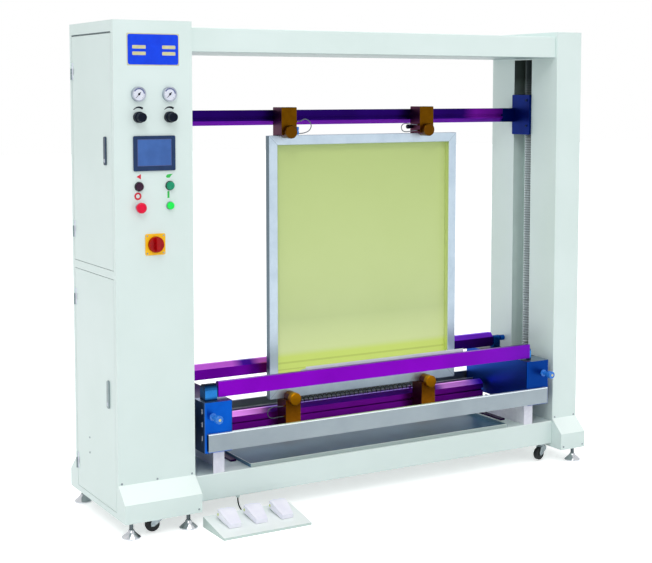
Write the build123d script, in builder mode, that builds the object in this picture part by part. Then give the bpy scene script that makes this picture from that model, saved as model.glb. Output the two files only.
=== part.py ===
from build123d import *
import os
from math import atan2, cos, degrees, pi, radians, sin, tan

os.makedirs("parts", exist_ok=True)

# Automatic coater for screen printing frames: two columns joined by a cross beam and a base
# deck. X runs along the machine, Y to the back, Z up. The origin is on the floor, under the
# middle of the machine's outline with its pedal board.

# Driving dimensions, mm
width = 2242
height = 1950
depth = 472
cabinet_width = 318
column_width = 138
flare = 65
board_reach = 245
wall = 3
running_gap = 0.08

# Planes of the frame
x_left = -width / 2
x_right = width / 2
x_cab = x_left + cabinet_width
x_col = x_right - column_width
x_mid = (x_cab + x_col) / 2
y_front = (board_reach - depth - flare) / 2
y_rear = y_front + depth
skirt_bottom = 62
skirt_shoulder = 135
skirt_top = 195
base_plate_low = 70
base_plate_top = 76
front_plane = Plane((0, y_front, 0), (1, 0, 0), (0, -1, 0))

# Slots, belts and rails inside the columns; s is the distance behind a column's inner face
slot_low, slot_high = 215, 1830
slot_front, slot_rear = 34, 161
pulley_y = 51
pulley_pitch_radius = 32
drive_z = 132
idler_z = 1885
belt_s = 8
belt_width = 32
belt_thickness = 3
rail_y = 126
rail_width = 20
rail_s = 52
rail_depth = 15
carriage_s = 22

# Screen frame and its mesh
screen_left, screen_right = -342, 612
screen_low, screen_high = 386, 1502
screen_front, screen_rear = 104, 134
screen_bar = 40

# Clamp beams
beam_front, beam_rear = 144, 194
beam_y = (beam_front + beam_rear) / 2
upper_low, upper_high = 1545, 1608
lower_low, lower_high = 255, 341
beam_bevel = 18
upper_clamps = {"clamp_upper_left": -266, "clamp_upper_right": 425}
lower_clamps = {"clamp_lower_left": -249, "clamp_lower_right": 444}
clamp_half = 36
clamp_front = 68
disc_radius = 27.5

# Coating carriage
cheek_width = 123
cheek_gap = 35
cheek_front = y_front - 15
cheek_rear = cheek_front + 469
cheek_low, cheek_high = 275, 475
bar_left, bar_right = -691, 864
rear_bar_right = 900
bar_depth = 35
bar_low, bar_high = 484, 546
pivot_z = (bar_low + bar_high) / 2
front_bar_y = y_front + 20
rear_bar_y = y_front + 342
trough_left, trough_right = -276, 519
trough_reach = 45


def save(part, label):
    part.label = label
    export_step(part, f"parts/{label}.step")


def inward(side, s):
    """X of a point s behind the inner face of the left (-1) or right (1) column."""
    return x_cab - s if side < 0 else x_col + s


def cord_tube(route, diameter, label):
    """Tube along straight runs joined by arcs as large as the runs allow."""
    points = [Vector(*point) for point in route]
    runs = [b - a for a, b in zip(points, points[1:])]
    radii = []
    for before, after in zip(runs, runs[1:]):
        half_turn = radians(before.get_angle(after)) / 2
        radii.append(0.45 * min(before.length, after.length) / tan(half_turn))
    with BuildLine() as path:
        FilletPolyline(*points, radius=radii)
    with BuildPart() as tube:
        with BuildSketch(Plane(points[0], z_dir=runs[0])):
            Circle(diameter / 2)
        sweep(path=path.wire())
    length = path.wire().length
    share = tube.part.volume / (pi * diameter**2 / 4 * length)
    print(label, "length", round(length, 1), "radii", [round(r, 1) for r in radii],
          "volume share", round(share, 3))
    save(tube.part, label)


# Columns: folded sheet shells with a flared skirt in front and behind
def column_shell(x_low, x_high):
    with BuildPart() as shell:
        with BuildSketch(Plane.YZ.offset(x_low)):
            with BuildLine():
                Polyline(
                    (y_front - flare, skirt_bottom), (y_front - flare, skirt_shoulder),
                    (y_front, skirt_top), (y_front, height), (y_rear, height),
                    (y_rear, skirt_top), (y_rear + flare, skirt_shoulder),
                    (y_rear + flare, skirt_bottom), close=True,
                )
            make_face()
        extrude(amount=x_high - x_low)
        with BuildSketch(Plane.YZ.offset(x_low + wall)):
            with BuildLine():
                Polyline(
                    (y_front - flare + wall, base_plate_top),
                    (y_front - flare + wall, skirt_shoulder - 1),
                    (y_front + wall, skirt_top - 1), (y_front + wall, height - wall),
                    (y_rear - wall, height - wall), (y_rear - wall, skirt_top - 1),
                    (y_rear + flare - wall, skirt_shoulder - 1),
                    (y_rear + flare - wall, base_plate_top), close=True,
                )
            make_face()
        extrude(amount=x_high - x_low - 2 * wall, mode=Mode.SUBTRACT)
        with BuildSketch(Plane.XY.offset(skirt_bottom)):
            with Locations(((x_low + x_high) / 2, (y_front + y_rear) / 2)):
                Rectangle(x_high - x_low - 2 * wall, depth + 2 * flare - 2 * wall)
        extrude(amount=base_plate_low - skirt_bottom, mode=Mode.SUBTRACT)
    return shell.part


foot_front, foot_rear = y_front - 34, y_rear + 20
left_feet = [(x, y) for x in (x_left + 36, x_left + 272) for y in (foot_front, foot_rear)]
right_feet = [(x_right - 46, y) for y in (foot_front, foot_rear)]
gauge_columns = (x_left + 97, x_left + 222)
gauge_z = 1675
gauge_radius = 28
regulator_z = 1589
panel_centre = (gauge_columns[0] + gauge_columns[1]) / 2
hmi_width, hmi_height, hmi_z = 169, 132, 1453
button_rows = {"up_button": (0, 1329), "down_button": (1, 1329),
               "stop_button": (0, 1250), "start_button": (1, 1253)}
switch_z = 1108
door_front, door_rear = y_front + 22, y_front + 450
doors = {"upper_door": (1012, 1903), "lower_door": (86, 981)}
door_gap = 2
hinge_x, hinge_y = x_left - 3.5, door_rear - 1.5
hinge_height = 68
door_hinges = {"upper_door": (1138, 1764), "lower_door": (192, 864)}
handle_y = y_front + 87
handle_height, handle_width, handle_lock = 108, 22, 17
door_handles = {"upper_handle": 1408, "lower_handle": 477}

with BuildPart() as left_cabinet:
    add(column_shell(x_left, x_cab))
    for low, high in doors.values():
        with BuildSketch(Plane.YZ.offset(x_left)):
            with Locations(((door_front + door_rear) / 2, (low + high) / 2)):
                Rectangle(door_rear - door_front, high - low)
        extrude(amount=wall, mode=Mode.SUBTRACT)
    with BuildSketch(Plane.YZ.offset(x_cab - wall)):
        with Locations(((slot_front + slot_rear) / 2, (slot_low + slot_high) / 2)):
            Rectangle(slot_rear - slot_front, slot_high - slot_low)
        with Locations((pulley_y, drive_z)):
            Circle(12)
    extrude(amount=wall, mode=Mode.SUBTRACT)
    with BuildSketch(front_plane):
        with Locations(*[(x, gauge_z) for x in gauge_columns]):
            Circle(26)
        with Locations(*[(x, regulator_z) for x in gauge_columns]):
            Circle(12)
        with Locations(*[(gauge_columns[column], z) for column, z in button_rows.values()]):
            Circle(11.2)
        with Locations((panel_centre, hmi_z)):
            Rectangle(hmi_width - 9, hmi_height - 10)
        with Locations((panel_centre, switch_z)):
            Circle(8)
    extrude(amount=-wall, mode=Mode.SUBTRACT)
    with BuildSketch(Plane.XY.offset(base_plate_low)):
        with Locations(*left_feet):
            Circle(8.6)
    extrude(amount=base_plate_top - base_plate_low, mode=Mode.SUBTRACT)
    # Middle knuckles of the door hinges, on leaves that lie on the side wall
    for centres in door_hinges.values():
        for centre in centres:
            with BuildSketch(Plane.XY.offset(centre - 10.5)):
                with Locations((hinge_x, hinge_y)):
                    Circle(3.5)
                with Locations((x_left - 0.75, hinge_y + 10)):
                    Rectangle(1.5, 18)
            extrude(amount=21)
save(left_cabinet.part, "left_cabinet")

with BuildPart() as right_column:
    add(column_shell(x_col, x_right))
    with BuildSketch(Plane.YZ.offset(x_col)):
        with Locations(((slot_front + slot_rear) / 2, (slot_low + slot_high) / 2)):
            Rectangle(slot_rear - slot_front, slot_high - slot_low)
        with Locations((pulley_y, drive_z)):
            Circle(12)
    extrude(amount=wall, mode=Mode.SUBTRACT)
    with BuildSketch(Plane.XY.offset(base_plate_low)):
        with Locations(*right_feet):
            Circle(8.6)
    extrude(amount=base_plate_top - base_plate_low, mode=Mode.SUBTRACT)
save(right_column.part, "right_column")

# Cross beam: a folded box section between the columns
cross_low, cross_high = 1836, 1929
cross_front = y_front + 13
with BuildPart() as cross_beam:
    with BuildSketch(Plane.YZ.offset(x_cab)):
        with Locations(((cross_front + y_rear) / 2, (cross_low + cross_high) / 2)):
            RectangleRounded(y_rear - cross_front, cross_high - cross_low, 4)
            RectangleRounded(y_rear - cross_front - 2 * wall, cross_high - cross_low - 2 * wall,
                             2, mode=Mode.SUBTRACT)
    extrude(amount=x_col - x_cab)
save(cross_beam.part, "cross_beam")

# Base deck: the same section laid low, with the gland of the pedal cable in its underside
deck_low, deck_high = 80, 185
deck_front, deck_rear = y_front + 3, y_rear - 3
gland_x, gland_y = -610, deck_front + 15
cable_diameter = 6
with BuildPart() as base_deck:
    with BuildSketch(Plane.YZ.offset(x_cab)):
        with Locations(((deck_front + deck_rear) / 2, (deck_low + deck_high) / 2)):
            RectangleRounded(deck_rear - deck_front, deck_high - deck_low, 4)
            RectangleRounded(deck_rear - deck_front - 2 * wall, deck_high - deck_low - 2 * wall,
                             2, mode=Mode.SUBTRACT)
    extrude(amount=x_col - x_cab)
    with BuildSketch(Plane.XY.offset(deck_low)):
        with Locations((gland_x, gland_y)):
            RegularPolygon(10, 6)
    extrude(amount=-10)
save(base_deck.part, "base_deck")

# Drip pan on the deck
pan_left, pan_right = -556, 736
pan_front, pan_rear = y_front + 12, 240
pan_height = 15
with BuildPart() as drip_pan:
    with BuildSketch(Plane.XY.offset(deck_high)):
        with Locations(((pan_left + pan_right) / 2, (pan_front + pan_rear) / 2)):
            RectangleRounded(pan_right - pan_left, pan_rear - pan_front, 6)
    extrude(amount=pan_height)
    with BuildSketch(Plane.XY.offset(deck_high + pan_height)):
        with Locations(((pan_left + pan_right) / 2, (pan_front + pan_rear) / 2)):
            RectangleRounded(pan_right - pan_left - 5, pan_rear - pan_front - 5, 4)
    extrude(amount=2 - pan_height, taper=12, mode=Mode.SUBTRACT)
save(drip_pan.part, "drip_pan")


# Coiled hose on top of the lower beam, and where its helix starts and ends
coil_turns = 25
coil_radius = 10
coil_wire = 4.5
coil_z = lower_high + 13.5
coil_left, coil_right = -163, 415
coil_pitch = (coil_right - coil_left) / coil_turns
coil_start = Vector(coil_left, beam_y, coil_z - coil_radius)
coil_end = Vector(coil_right, beam_y, coil_z - coil_radius)
coil_dir = Vector(coil_pitch / (2 * pi), coil_radius, 0).normalized()

# Clamp beams: bevelled extrusions with a T slot along the front, in which the clamps slide
slot_mouth, slot_head = 10, 18
slot_neck, slot_depth = 5, 11


def beam_section(x, low, high, bevel_at_top):
    with BuildSketch(Plane.YZ.offset(x)) as section:
        with Locations((beam_y, (low + high) / 2)):
            Rectangle(beam_rear - beam_front, high - low)
        edge_corners = section.vertices().group_by(Axis.Y)[-1 if bevel_at_top else 0]
        chamfer(edge_corners, beam_bevel)
        with Locations((beam_front + slot_depth / 2, (low + high) / 2)):
            Rectangle(slot_depth, slot_mouth, mode=Mode.SUBTRACT)
        with Locations((beam_front + (slot_neck + slot_depth) / 2, (low + high) / 2)):
            Rectangle(slot_depth - slot_neck, slot_head, mode=Mode.SUBTRACT)
    return section.sketch


lower_left, lower_right = -589, 806
post_width = 25
foot_reach = 167
with BuildPart() as lower_beam:
    extrude(beam_section(lower_left, lower_low, lower_high, True),
            amount=lower_right - lower_left)
    # Posts that carry the beam, each with a foot that reaches forward on the deck
    for x in (lower_left, lower_right - post_width):
        with BuildSketch(Plane.YZ.offset(x)):
            with BuildLine():
                Polyline(
                    (beam_front - foot_reach, deck_high), (beam_front - foot_reach, deck_high + 8),
                    (beam_front + 2, deck_high + 8), (beam_front + 6, lower_low + 4),
                    (beam_rear - 6, lower_low + 4), (beam_rear, deck_high), close=True,
                )
            make_face()
        extrude(amount=post_width)
    # Ports of the coiled hose, each square to the end of the hose, on a boss of its own
    for end, way in ((coil_start, -1), (coil_end, 1)):
        mouth = end + coil_dir * (way * coil_wire)
        with BuildSketch(Plane(mouth, z_dir=coil_dir * way)):
            Circle(5)
        extrude(amount=12)
        boss = mouth + coil_dir * (way * 6)
        with BuildSketch(Plane((boss.X, boss.Y, lower_high - 16))):
            Circle(4.5)
        extrude(amount=boss.Z - lower_high + 16)
save(lower_beam.part, "lower_beam")

# White brackets on the deck that the coating carriage comes down to
bracket_high = 272
with BuildPart() as rest_brackets:
    for x, side in ((-722, 1), (824, 0)):
        with BuildSketch(Plane.XY.offset(deck_high)):
            with Locations((x + 24, deck_front + 4.5)):
                Rectangle(48, 3)
            with Locations((x + 46.5 if side else x + 1.5, deck_front + 148)):
                Rectangle(3, 290)
        extrude(amount=bracket_high - deck_high - 3)
        with BuildSketch(Plane.XY.offset(bracket_high - 3)):
            with Locations((x + 24, deck_front + 33)):
                Rectangle(48, 60)
        extrude(amount=3)
save(rest_brackets.part, "rest_brackets")

# Screen frame of welded tube, and the mesh glued to its back
with BuildPart() as screen_frame:
    with BuildSketch(Plane.XZ.offset(-screen_front)):
        with Locations(((screen_left + screen_right) / 2, (screen_low + screen_high) / 2)):
            RectangleRounded(screen_right - screen_left, screen_high - screen_low, 3)
            Rectangle(screen_right - screen_left - 2 * screen_bar,
                      screen_high - screen_low - 2 * screen_bar, mode=Mode.SUBTRACT)
    extrude(amount=screen_front - screen_rear)
    chamfer(screen_frame.faces().filter_by(Axis.Y).edges().filter_by(GeomType.LINE), 1)
save(screen_frame.part, "screen_frame")

mesh_margin = 28
with BuildPart() as screen_mesh:
    with BuildSketch(Plane.XZ.offset(-screen_rear)):
        with Locations(((screen_left + screen_right) / 2, (screen_low + screen_high) / 2)):
            Rectangle(screen_right - screen_left - 2 * mesh_margin,
                      screen_high - screen_low - 2 * mesh_margin)
    extrude(amount=-0.8)
save(screen_mesh.part, "screen_mesh")

# Guides inside each column: rail on a folded plate, idler pulley on its stud, shaft bearing
with BuildPart() as guide_assemblies:
    for side in (-1, 1):
        plate_s = rail_s + rail_depth
        with BuildSketch(Plane.XY.offset(slot_low - 10)):
            with Locations((inward(side, rail_s + rail_depth / 2), rail_y)):
                Rectangle(rail_depth, rail_width)
            with Locations((inward(side, plate_s + 2), 128)):
                Rectangle(4, 84)
            with Locations((inward(side, (wall + plate_s) / 2), 168)):
                Rectangle(plate_s - wall, 4)
        extrude(amount=slot_high - slot_low + 20)
        with BuildSketch(Plane.YZ.offset(inward(side, belt_s))):
            with Locations((pulley_y, idler_z)):
                Circle(pulley_pitch_radius - 1)
        extrude(amount=side * belt_width)
        with BuildSketch(Plane.YZ.offset(inward(side, wall))):
            with Locations((pulley_y, idler_z)):
                Circle(8)
        extrude(amount=side * (belt_s - wall))
        with BuildSketch(Plane.YZ.offset(inward(side, wall))):
            with Locations((pulley_y, drive_z)):
                Circle(20)
                Circle(8 + running_gap, mode=Mode.SUBTRACT)
        extrude(amount=side * 4)
save(guide_assemblies.part, "guide_assemblies")

# Toothed belts, as loops about the drive and idler pulleys; teeth on the run in the slot
tooth_pitch = 20
tooth_count = int((slot_high - slot_low - 40) / tooth_pitch)
with BuildPart() as lift_belts:
    for side in (-1, 1):
        with BuildSketch(Plane.YZ.offset(inward(side, belt_s))):
            with Locations((pulley_y, (drive_z + idler_z) / 2)):
                SlotCenterToCenter(idler_z - drive_z, 2 * (pulley_pitch_radius + belt_thickness),
                                   rotation=90)
                SlotCenterToCenter(idler_z - drive_z, 2 * pulley_pitch_radius, rotation=90,
                                   mode=Mode.SUBTRACT)
            with Locations((pulley_y + pulley_pitch_radius - 1, (slot_low + slot_high) / 2)):
                with GridLocations(1, tooth_pitch, 1, tooth_count):
                    Rectangle(3, 6)
        extrude(amount=side * belt_width)
save(lift_belts.part, "lift_belts")

# Drive shaft in the deck, with a 20-tooth pulley in each column
shaft_left = x_cab - 90
with BuildPart() as drive_shaft:
    with BuildSketch(Plane.YZ.offset(shaft_left)):
        with Locations((pulley_y, drive_z)):
            Circle(8)
    extrude(amount=x_col + 50 - shaft_left)
    for side in (-1, 1):
        with BuildSketch(Plane.YZ.offset(inward(side, belt_s + 1))):
            with Locations((pulley_y, drive_z)):
                Circle(pulley_pitch_radius - 0.6)
                with PolarLocations(pulley_pitch_radius - 0.6, 20):
                    Rectangle(5, 4.6, mode=Mode.SUBTRACT)
        extrude(amount=side * (belt_width - 2))
save(drive_shaft.part, "drive_shaft")

# Gear motor on the base plate of the cabinet
gearbox_size = 80
with BuildPart() as gear_motor:
    with BuildSketch(Plane.YZ.offset(shaft_left - 50)):
        with Locations((pulley_y, drive_z)):
            RectangleRounded(gearbox_size, gearbox_size, 8)
    extrude(amount=70)
    with BuildSketch(Plane.XY.offset(base_plate_top)):
        with Locations((shaft_left - 15, pulley_y)):
            Rectangle(70, gearbox_size + 20)
    extrude(amount=drive_z - gearbox_size / 2 - base_plate_top + 2)
    with BuildSketch(Plane.YZ.offset(shaft_left - 50)):
        with Locations((pulley_y, drive_z)):
            Circle(34)
            with PolarLocations(34, 12):
                Rectangle(8, 3)
    extrude(amount=-110)
    with BuildSketch(Plane.YZ.offset(shaft_left - 5)):
        with Locations((pulley_y, drive_z)):
            Circle(8 + running_gap)
    extrude(amount=30, mode=Mode.SUBTRACT)
save(gear_motor.part, "gear_motor")

# Mounting plate inside the cabinet: controller, drive, contactors, terminals, air valves
plate_x = x_cab - 95
plate_front, plate_rear = -60, 300
units = [  # centre Y, centre Z, width, height, depth
    (40, 860, 110, 120, 90), (200, 860, 130, 140, 110), (60, 660, 60, 100, 80),
    (140, 660, 60, 100, 80), (220, 660, 60, 100, 80), (120, 480, 240, 50, 50),
    (120, 340, 200, 120, 70), (120, 1250, 220, 60, 70), (120, 1500, 90, 90, 60),
]
with BuildPart() as electrical_panel:
    with BuildSketch(Plane.YZ.offset(plate_x)):
        with Locations(((plate_front + plate_rear) / 2, 1040)):
            Rectangle(plate_rear - plate_front, 1600)
    extrude(amount=3)
    for y, z, unit_width, unit_height, unit_depth in units:
        with BuildSketch(Plane.YZ.offset(plate_x)):
            with Locations((y, z)):
                Rectangle(unit_width, unit_height)
        extrude(amount=-unit_depth, taper=1)
    # Feet that stand the plate on the rear wall
    with BuildSketch(Plane.YZ.offset(plate_x)):
        with Locations(((plate_rear + y_rear - wall) / 2, 400),
                       ((plate_rear + y_rear - wall) / 2, 1600)):
            Rectangle(y_rear - wall - plate_rear, 40)
    extrude(amount=3)
save(electrical_panel.part, "electrical_panel")

# Pressure gauges
with BuildPart() as gauge_cases:
    with BuildSketch(front_plane):
        with Locations(*[(x, gauge_z) for x in gauge_columns]):
            Circle(gauge_radius)
    extrude(amount=14)
    with BuildSketch(front_plane.offset(14)):
        with Locations(*[(x, gauge_z) for x in gauge_columns]):
            Circle(gauge_radius - 4)
    extrude(amount=-3, mode=Mode.SUBTRACT)
    with BuildSketch(front_plane):
        with Locations(*[(x, gauge_z) for x in gauge_columns]):
            Circle(25)
    extrude(amount=-32)
save(gauge_cases.part, "gauge_cases")

# Touch panel
with BuildPart() as touch_panel:
    with BuildSketch(front_plane):
        with Locations((panel_centre, hmi_z)):
            RectangleRounded(hmi_width, hmi_height, 6)
    extrude(amount=6)
    with BuildSketch(front_plane.offset(6)):
        with Locations((panel_centre, hmi_z + 3)):
            Rectangle(hmi_width - 30, hmi_height - 30)
    extrude(amount=-1.5, taper=20, mode=Mode.SUBTRACT)
    with BuildSketch(front_plane):
        with Locations((panel_centre, hmi_z)):
            Rectangle(hmi_width - 11, hmi_height - 12)
    extrude(amount=-38)
save(touch_panel.part, "touch_panel")

# Levelling feet: cone, stem and locknut
with BuildPart() as levelling_feet:
    for x, y in left_feet + right_feet:
        with BuildSketch(Plane((x, y, 0), (1, 0, 0), (0, -1, 0))):
            with BuildLine():
                Polyline((0, 0), (36, 0), (36, 5), (15, 24), (12, 30), (8, 34), (8, 100), (0, 100),
                         close=True)
            make_face()
        revolve(axis=Axis((x, y, 0), (0, 0, 1)))
        with BuildSketch(Plane.XY.offset(56)):
            with Locations((x, y)):
                RegularPolygon(14, 6)
        extrude(amount=base_plate_low - 56)
save(levelling_feet.part, "levelling_feet")

# Casters: swivelling in front, fixed behind
wheel_radius, wheel_width = 28, 20
wheel_z = 34
trail = 22
caster_left_x, caster_right_x = x_left + 150, 952
left_swivel_y, right_swivel_y = y_front - 20, y_front + 34
rear_wheel_y = y_rear - 36
front_casters = {  # x, y, underside of the frame, rest angle of the trail from -Y
    "left": (caster_left_x, left_swivel_y, base_plate_low, 100),
    "right": (caster_right_x, right_swivel_y, deck_low, 78),
}


def trail_plane(x, y, angle):
    """Plane through the wheel's middle, seen from its side; x along the trail, y up."""
    turn = radians(angle)
    along = (-sin(turn), -cos(turn), 0)
    return Plane((x, y, 0), along, (-cos(turn), sin(turn), 0))


def fork(plane, underside):
    """Fork with its axle; the crown carries it to the frame's underside."""
    half_width = wheel_width / 2 + 2
    leg = 2.5
    with BuildPart() as body:
        for start in (half_width, -half_width - leg):
            with BuildSketch(plane.offset(start)):
                with BuildLine():
                    Polyline((-16, 66), (20, 66), (trail + 8, wheel_z + 4),
                             (trail + 6, wheel_z - 7), (trail - 6, wheel_z - 7), (-16, 52),
                             close=True)
                make_face()
            extrude(amount=leg)
        with BuildSketch(Plane(plane.origin + Vector(0, 0, 63.5), plane.x_dir, (0, 0, 1))):
            with Locations((2, 0)):
                Rectangle(36, wheel_width + 9)
        extrude(amount=2.5)
        with BuildSketch(Plane(plane.origin + Vector(0, 0, 65), plane.x_dir, (0, 0, 1))):
            Circle(13)
        extrude(amount=underside - 65)
        with BuildSketch(plane.offset(-half_width - leg)):
            with Locations((trail, wheel_z)):
                Circle(4)
        extrude(amount=2 * (half_width + leg))
    return body.part


def wheel(plane):
    with BuildPart() as body:
        with BuildSketch(plane.offset(-wheel_width / 2)):
            with Locations((trail, wheel_z)):
                Circle(wheel_radius)
                Circle(4 + running_gap, mode=Mode.SUBTRACT)
        extrude(amount=wheel_width)
        rims = body.edges().filter_by(GeomType.CIRCLE).group_by(SortBy.LENGTH)[-1]
        chamfer(rims, 2.5)
    return body.part


for name, (x, y, underside, angle) in front_casters.items():
    side_plane = trail_plane(x, y, angle)
    save(fork(side_plane, underside - 0.4), f"caster_fork_{name}")
    save(wheel(side_plane), f"caster_wheel_{name}")

rear_planes = {
    "left": trail_plane(caster_left_x, rear_wheel_y + trail, 0),
    "right": trail_plane(caster_right_x, rear_wheel_y + trail, 0),
}
with BuildPart() as rear_caster_forks:
    add(fork(rear_planes["left"], base_plate_low))
    add(fork(rear_planes["right"], deck_low))
save(rear_caster_forks.part, "rear_caster_forks")

for name, plane in rear_planes.items():
    save(wheel(plane), f"rear_wheel_{name}")

# Pedal board: a wedge on the floor with three covered treadles
board_left = x_cab + 5
board_width = 380
board_front, board_rear = y_front - board_reach, y_front - 55
board_toe, board_heel = 10, 42
board_slope = degrees(atan2(board_heel - board_toe, board_rear - board_front))
pedal_spacing = 113
pedal_x = [board_left + 78 + pedal_spacing * index for index in range(3)]
pedal_toe_y = board_front + 60
pedal_length = 112
slope_dir = (0, -sin(radians(board_slope)), cos(radians(board_slope)))
cable_end_z = 24


def board_plane(x):
    toe_z = board_toe + (pedal_toe_y - board_front) * tan(radians(board_slope))
    return Plane((x, pedal_toe_y, toe_z), (1, 0, 0), slope_dir)


def pedal_outline(plane, inset):
    side, heel = 35 - inset, 96 - inset
    with BuildSketch(plane) as outline:
        with BuildLine():
            Polyline((-24 + inset, inset), (24 - inset, inset), (side, 84), (side, heel))
            ThreePointArc((side, heel), (0, pedal_length - inset), (-side, heel))
            Polyline((-side, heel), (-side, 84), (-24 + inset, inset))
        make_face()
    return outline.sketch


with BuildPart() as pedal_board:
    with BuildSketch(Plane.YZ.offset(board_left)):
        with BuildLine():
            Polyline((board_front, 0), (board_front, board_toe), (board_rear, board_heel),
                     (board_rear, 0), close=True)
        make_face()
    extrude(amount=board_width)
    fillet(pedal_board.edges().filter_by(Axis.Z), 4)
    for x in pedal_x:
        extrude(pedal_outline(board_plane(x), 6), amount=2.5)
        with BuildSketch(board_plane(x).offset(2.5)):
            with Locations((0, 56)):
                Circle(8)
        extrude(amount=4)
    with BuildSketch(Plane((gland_x, board_rear, cable_end_z), (1, 0, 0), (0, 1, 0))):
        Circle(7)
    extrude(amount=6)
save(pedal_board.part, "pedal_board")

for index, x in enumerate(pedal_x, 1):
    plane = board_plane(x)
    with BuildPart() as pedal:
        extrude(pedal_outline(plane.offset(1.5), 0), amount=50)
        side = Plane(plane.origin - Vector(40, 0, 0), plane.y_dir, (1, 0, 0))
        with BuildSketch(side):
            with BuildLine():
                Polyline((-2, 1), (-2, 18), (0, 18), (66, 36))
                ThreePointArc((66, 36), (92, 39), (114, 33))
                Polyline((114, 33), (114, 12), (-2, 1))
            make_face()
        extrude(amount=80, mode=Mode.INTERSECT)
        extrude(pedal_outline(plane, 3), amount=13, mode=Mode.SUBTRACT)
    save(pedal.part, f"pedal_{index}")

cable_route = [
    (gland_x, gland_y, deck_low - 10), (gland_x, gland_y, 54.7),
    (gland_x + 0.5, gland_y - 5.9, 40.6), (gland_x + 1.5, gland_y - 16.7, 29.8),
    (gland_x + 2.5, gland_y - 30.8, cable_end_z), (gland_x, board_rear + 23, cable_end_z),
    (gland_x, board_rear + 6, cable_end_z),
]
cord_tube(cable_route, cable_diameter, "pedal_cable")

# Upper clamp beam on its two carriages
upper_left, upper_right = x_mid - 814, x_mid + 814
with BuildPart() as upper_beam:
    extrude(beam_section(upper_left, upper_low, upper_high, False),
            amount=upper_right - upper_left)
save(upper_beam.part, "upper_beam")


def carriage(side, low, high, outer_x):
    """Arm that reaches from outer_x through the slot and straddles the rail."""
    with BuildPart() as arm:
        with BuildSketch(Plane.XY.offset(low)):
            with Locations(((outer_x + inward(side, carriage_s)) / 2, 127)):
                Rectangle(abs(outer_x - inward(side, carriage_s)), 58)
            with Locations((inward(side, (carriage_s + rail_s + 10) / 2), 127)):
                Rectangle(rail_s + 10 - carriage_s, 62)
            with Locations((inward(side, rail_s + 5), rail_y)):
                Rectangle(10.8, rail_width + 0.8, mode=Mode.SUBTRACT)
        extrude(amount=high - low)
    return arm.part


plate_low, plate_high = 1487, 1670
with BuildPart() as upper_carriages:
    for side in (-1, 1):
        face = inward(side, -0.5)
        beam_end = upper_left if side < 0 else upper_right
        add(carriage(side, plate_low + 15, plate_high - 15, face))
        with BuildSketch(Plane.YZ.offset(face)):
            with Locations((96, (plate_low + plate_high) / 2)):
                RectangleRounded(126, plate_high - plate_low, 4)
        extrude(amount=-side * 12)
        with BuildSketch(Plane.YZ.offset(face)):
            with Locations((beam_y, (upper_low + upper_high) / 2)):
                Rectangle(beam_rear - beam_front, upper_high - upper_low)
        extrude(amount=beam_end - face)
save(upper_carriages.part, "upper_carriages")

# Clamps: a block before the beam, keyed into its T slot, that reaches over the screen frame
# with an air cylinder's round cap in front of the frame and a jaw behind it
port_y = 80
port_length = 6
hose_ports = {  # side of the clamp, heights of its two ports
    "clamp_upper_left": (1, 1560, 1510), "clamp_upper_right": (-1, 1540, 1514),
    "clamp_lower_left": (-1, 358, 314), "clamp_lower_right": (1, 346, 322),
}


def clamp_body(name, x, up):
    """up is 1 where the screen lies above the beam and -1 where it hangs below."""
    low, high = (lower_low, lower_high) if up > 0 else (upper_low, upper_high)
    frame_edge = screen_low if up > 0 else screen_high
    far_end = low - 12 if up > 0 else high + 12
    block_end = frame_edge - 2 * up
    jaw_end = frame_edge + 8 * up
    disc_z = screen_low + 3 if up > 0 else screen_high + 16
    block_rear = beam_front - running_gap
    jaw_front = screen_rear + 0.6
    slot_z = (low + high) / 2
    with BuildPart() as clamp:
        with BuildSketch(Plane.YZ.offset(x - clamp_half)):
            with BuildLine():
                Polyline((clamp_front, far_end), (block_rear, far_end), (block_rear, jaw_end),
                         (jaw_front, jaw_end), (jaw_front, block_end), (clamp_front, block_end),
                         close=True)
            make_face()
        extrude(amount=2 * clamp_half)
        crown = clamp.edges().filter_by(Axis.X).sort_by(lambda edge: abs(edge.center().Z - far_end))
        fillet(crown[:2], 4)
        # Key in the T slot of the beam
        with BuildSketch(Plane.YZ.offset(x - clamp_half)):
            with Locations((block_rear + slot_neck / 2 + 1, slot_z)):
                Rectangle(slot_neck + 4, slot_mouth - 2 * running_gap)
            with Locations((beam_front + (slot_neck + slot_depth) / 2, slot_z)):
                Rectangle(slot_depth - slot_neck - 2 * running_gap, slot_head - 2 * running_gap)
        extrude(amount=2 * clamp_half)
        # Cap of the air cylinder
        cap_front = clamp_front - 24
        with BuildSketch(Plane.XZ.offset(-cap_front)):
            with Locations((x, disc_z)):
                Circle(disc_radius)
        extrude(amount=cap_front - screen_front + 0.5)
        rim = clamp.edges().filter_by(GeomType.CIRCLE).sort_by(Axis.Y)[0]
        chamfer(rim, 3)
        port_side, *heights = hose_ports[name]
        for z in heights:
            with BuildSketch(Plane.YZ.offset(x + port_side * clamp_half)):
                with Locations((port_y, z)):
                    Circle(5)
            extrude(amount=port_side * port_length)
    save(clamp.part, name)


for name, x in upper_clamps.items():
    clamp_body(name, x, -1)
for name, x in lower_clamps.items():
    clamp_body(name, x, 1)

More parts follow.
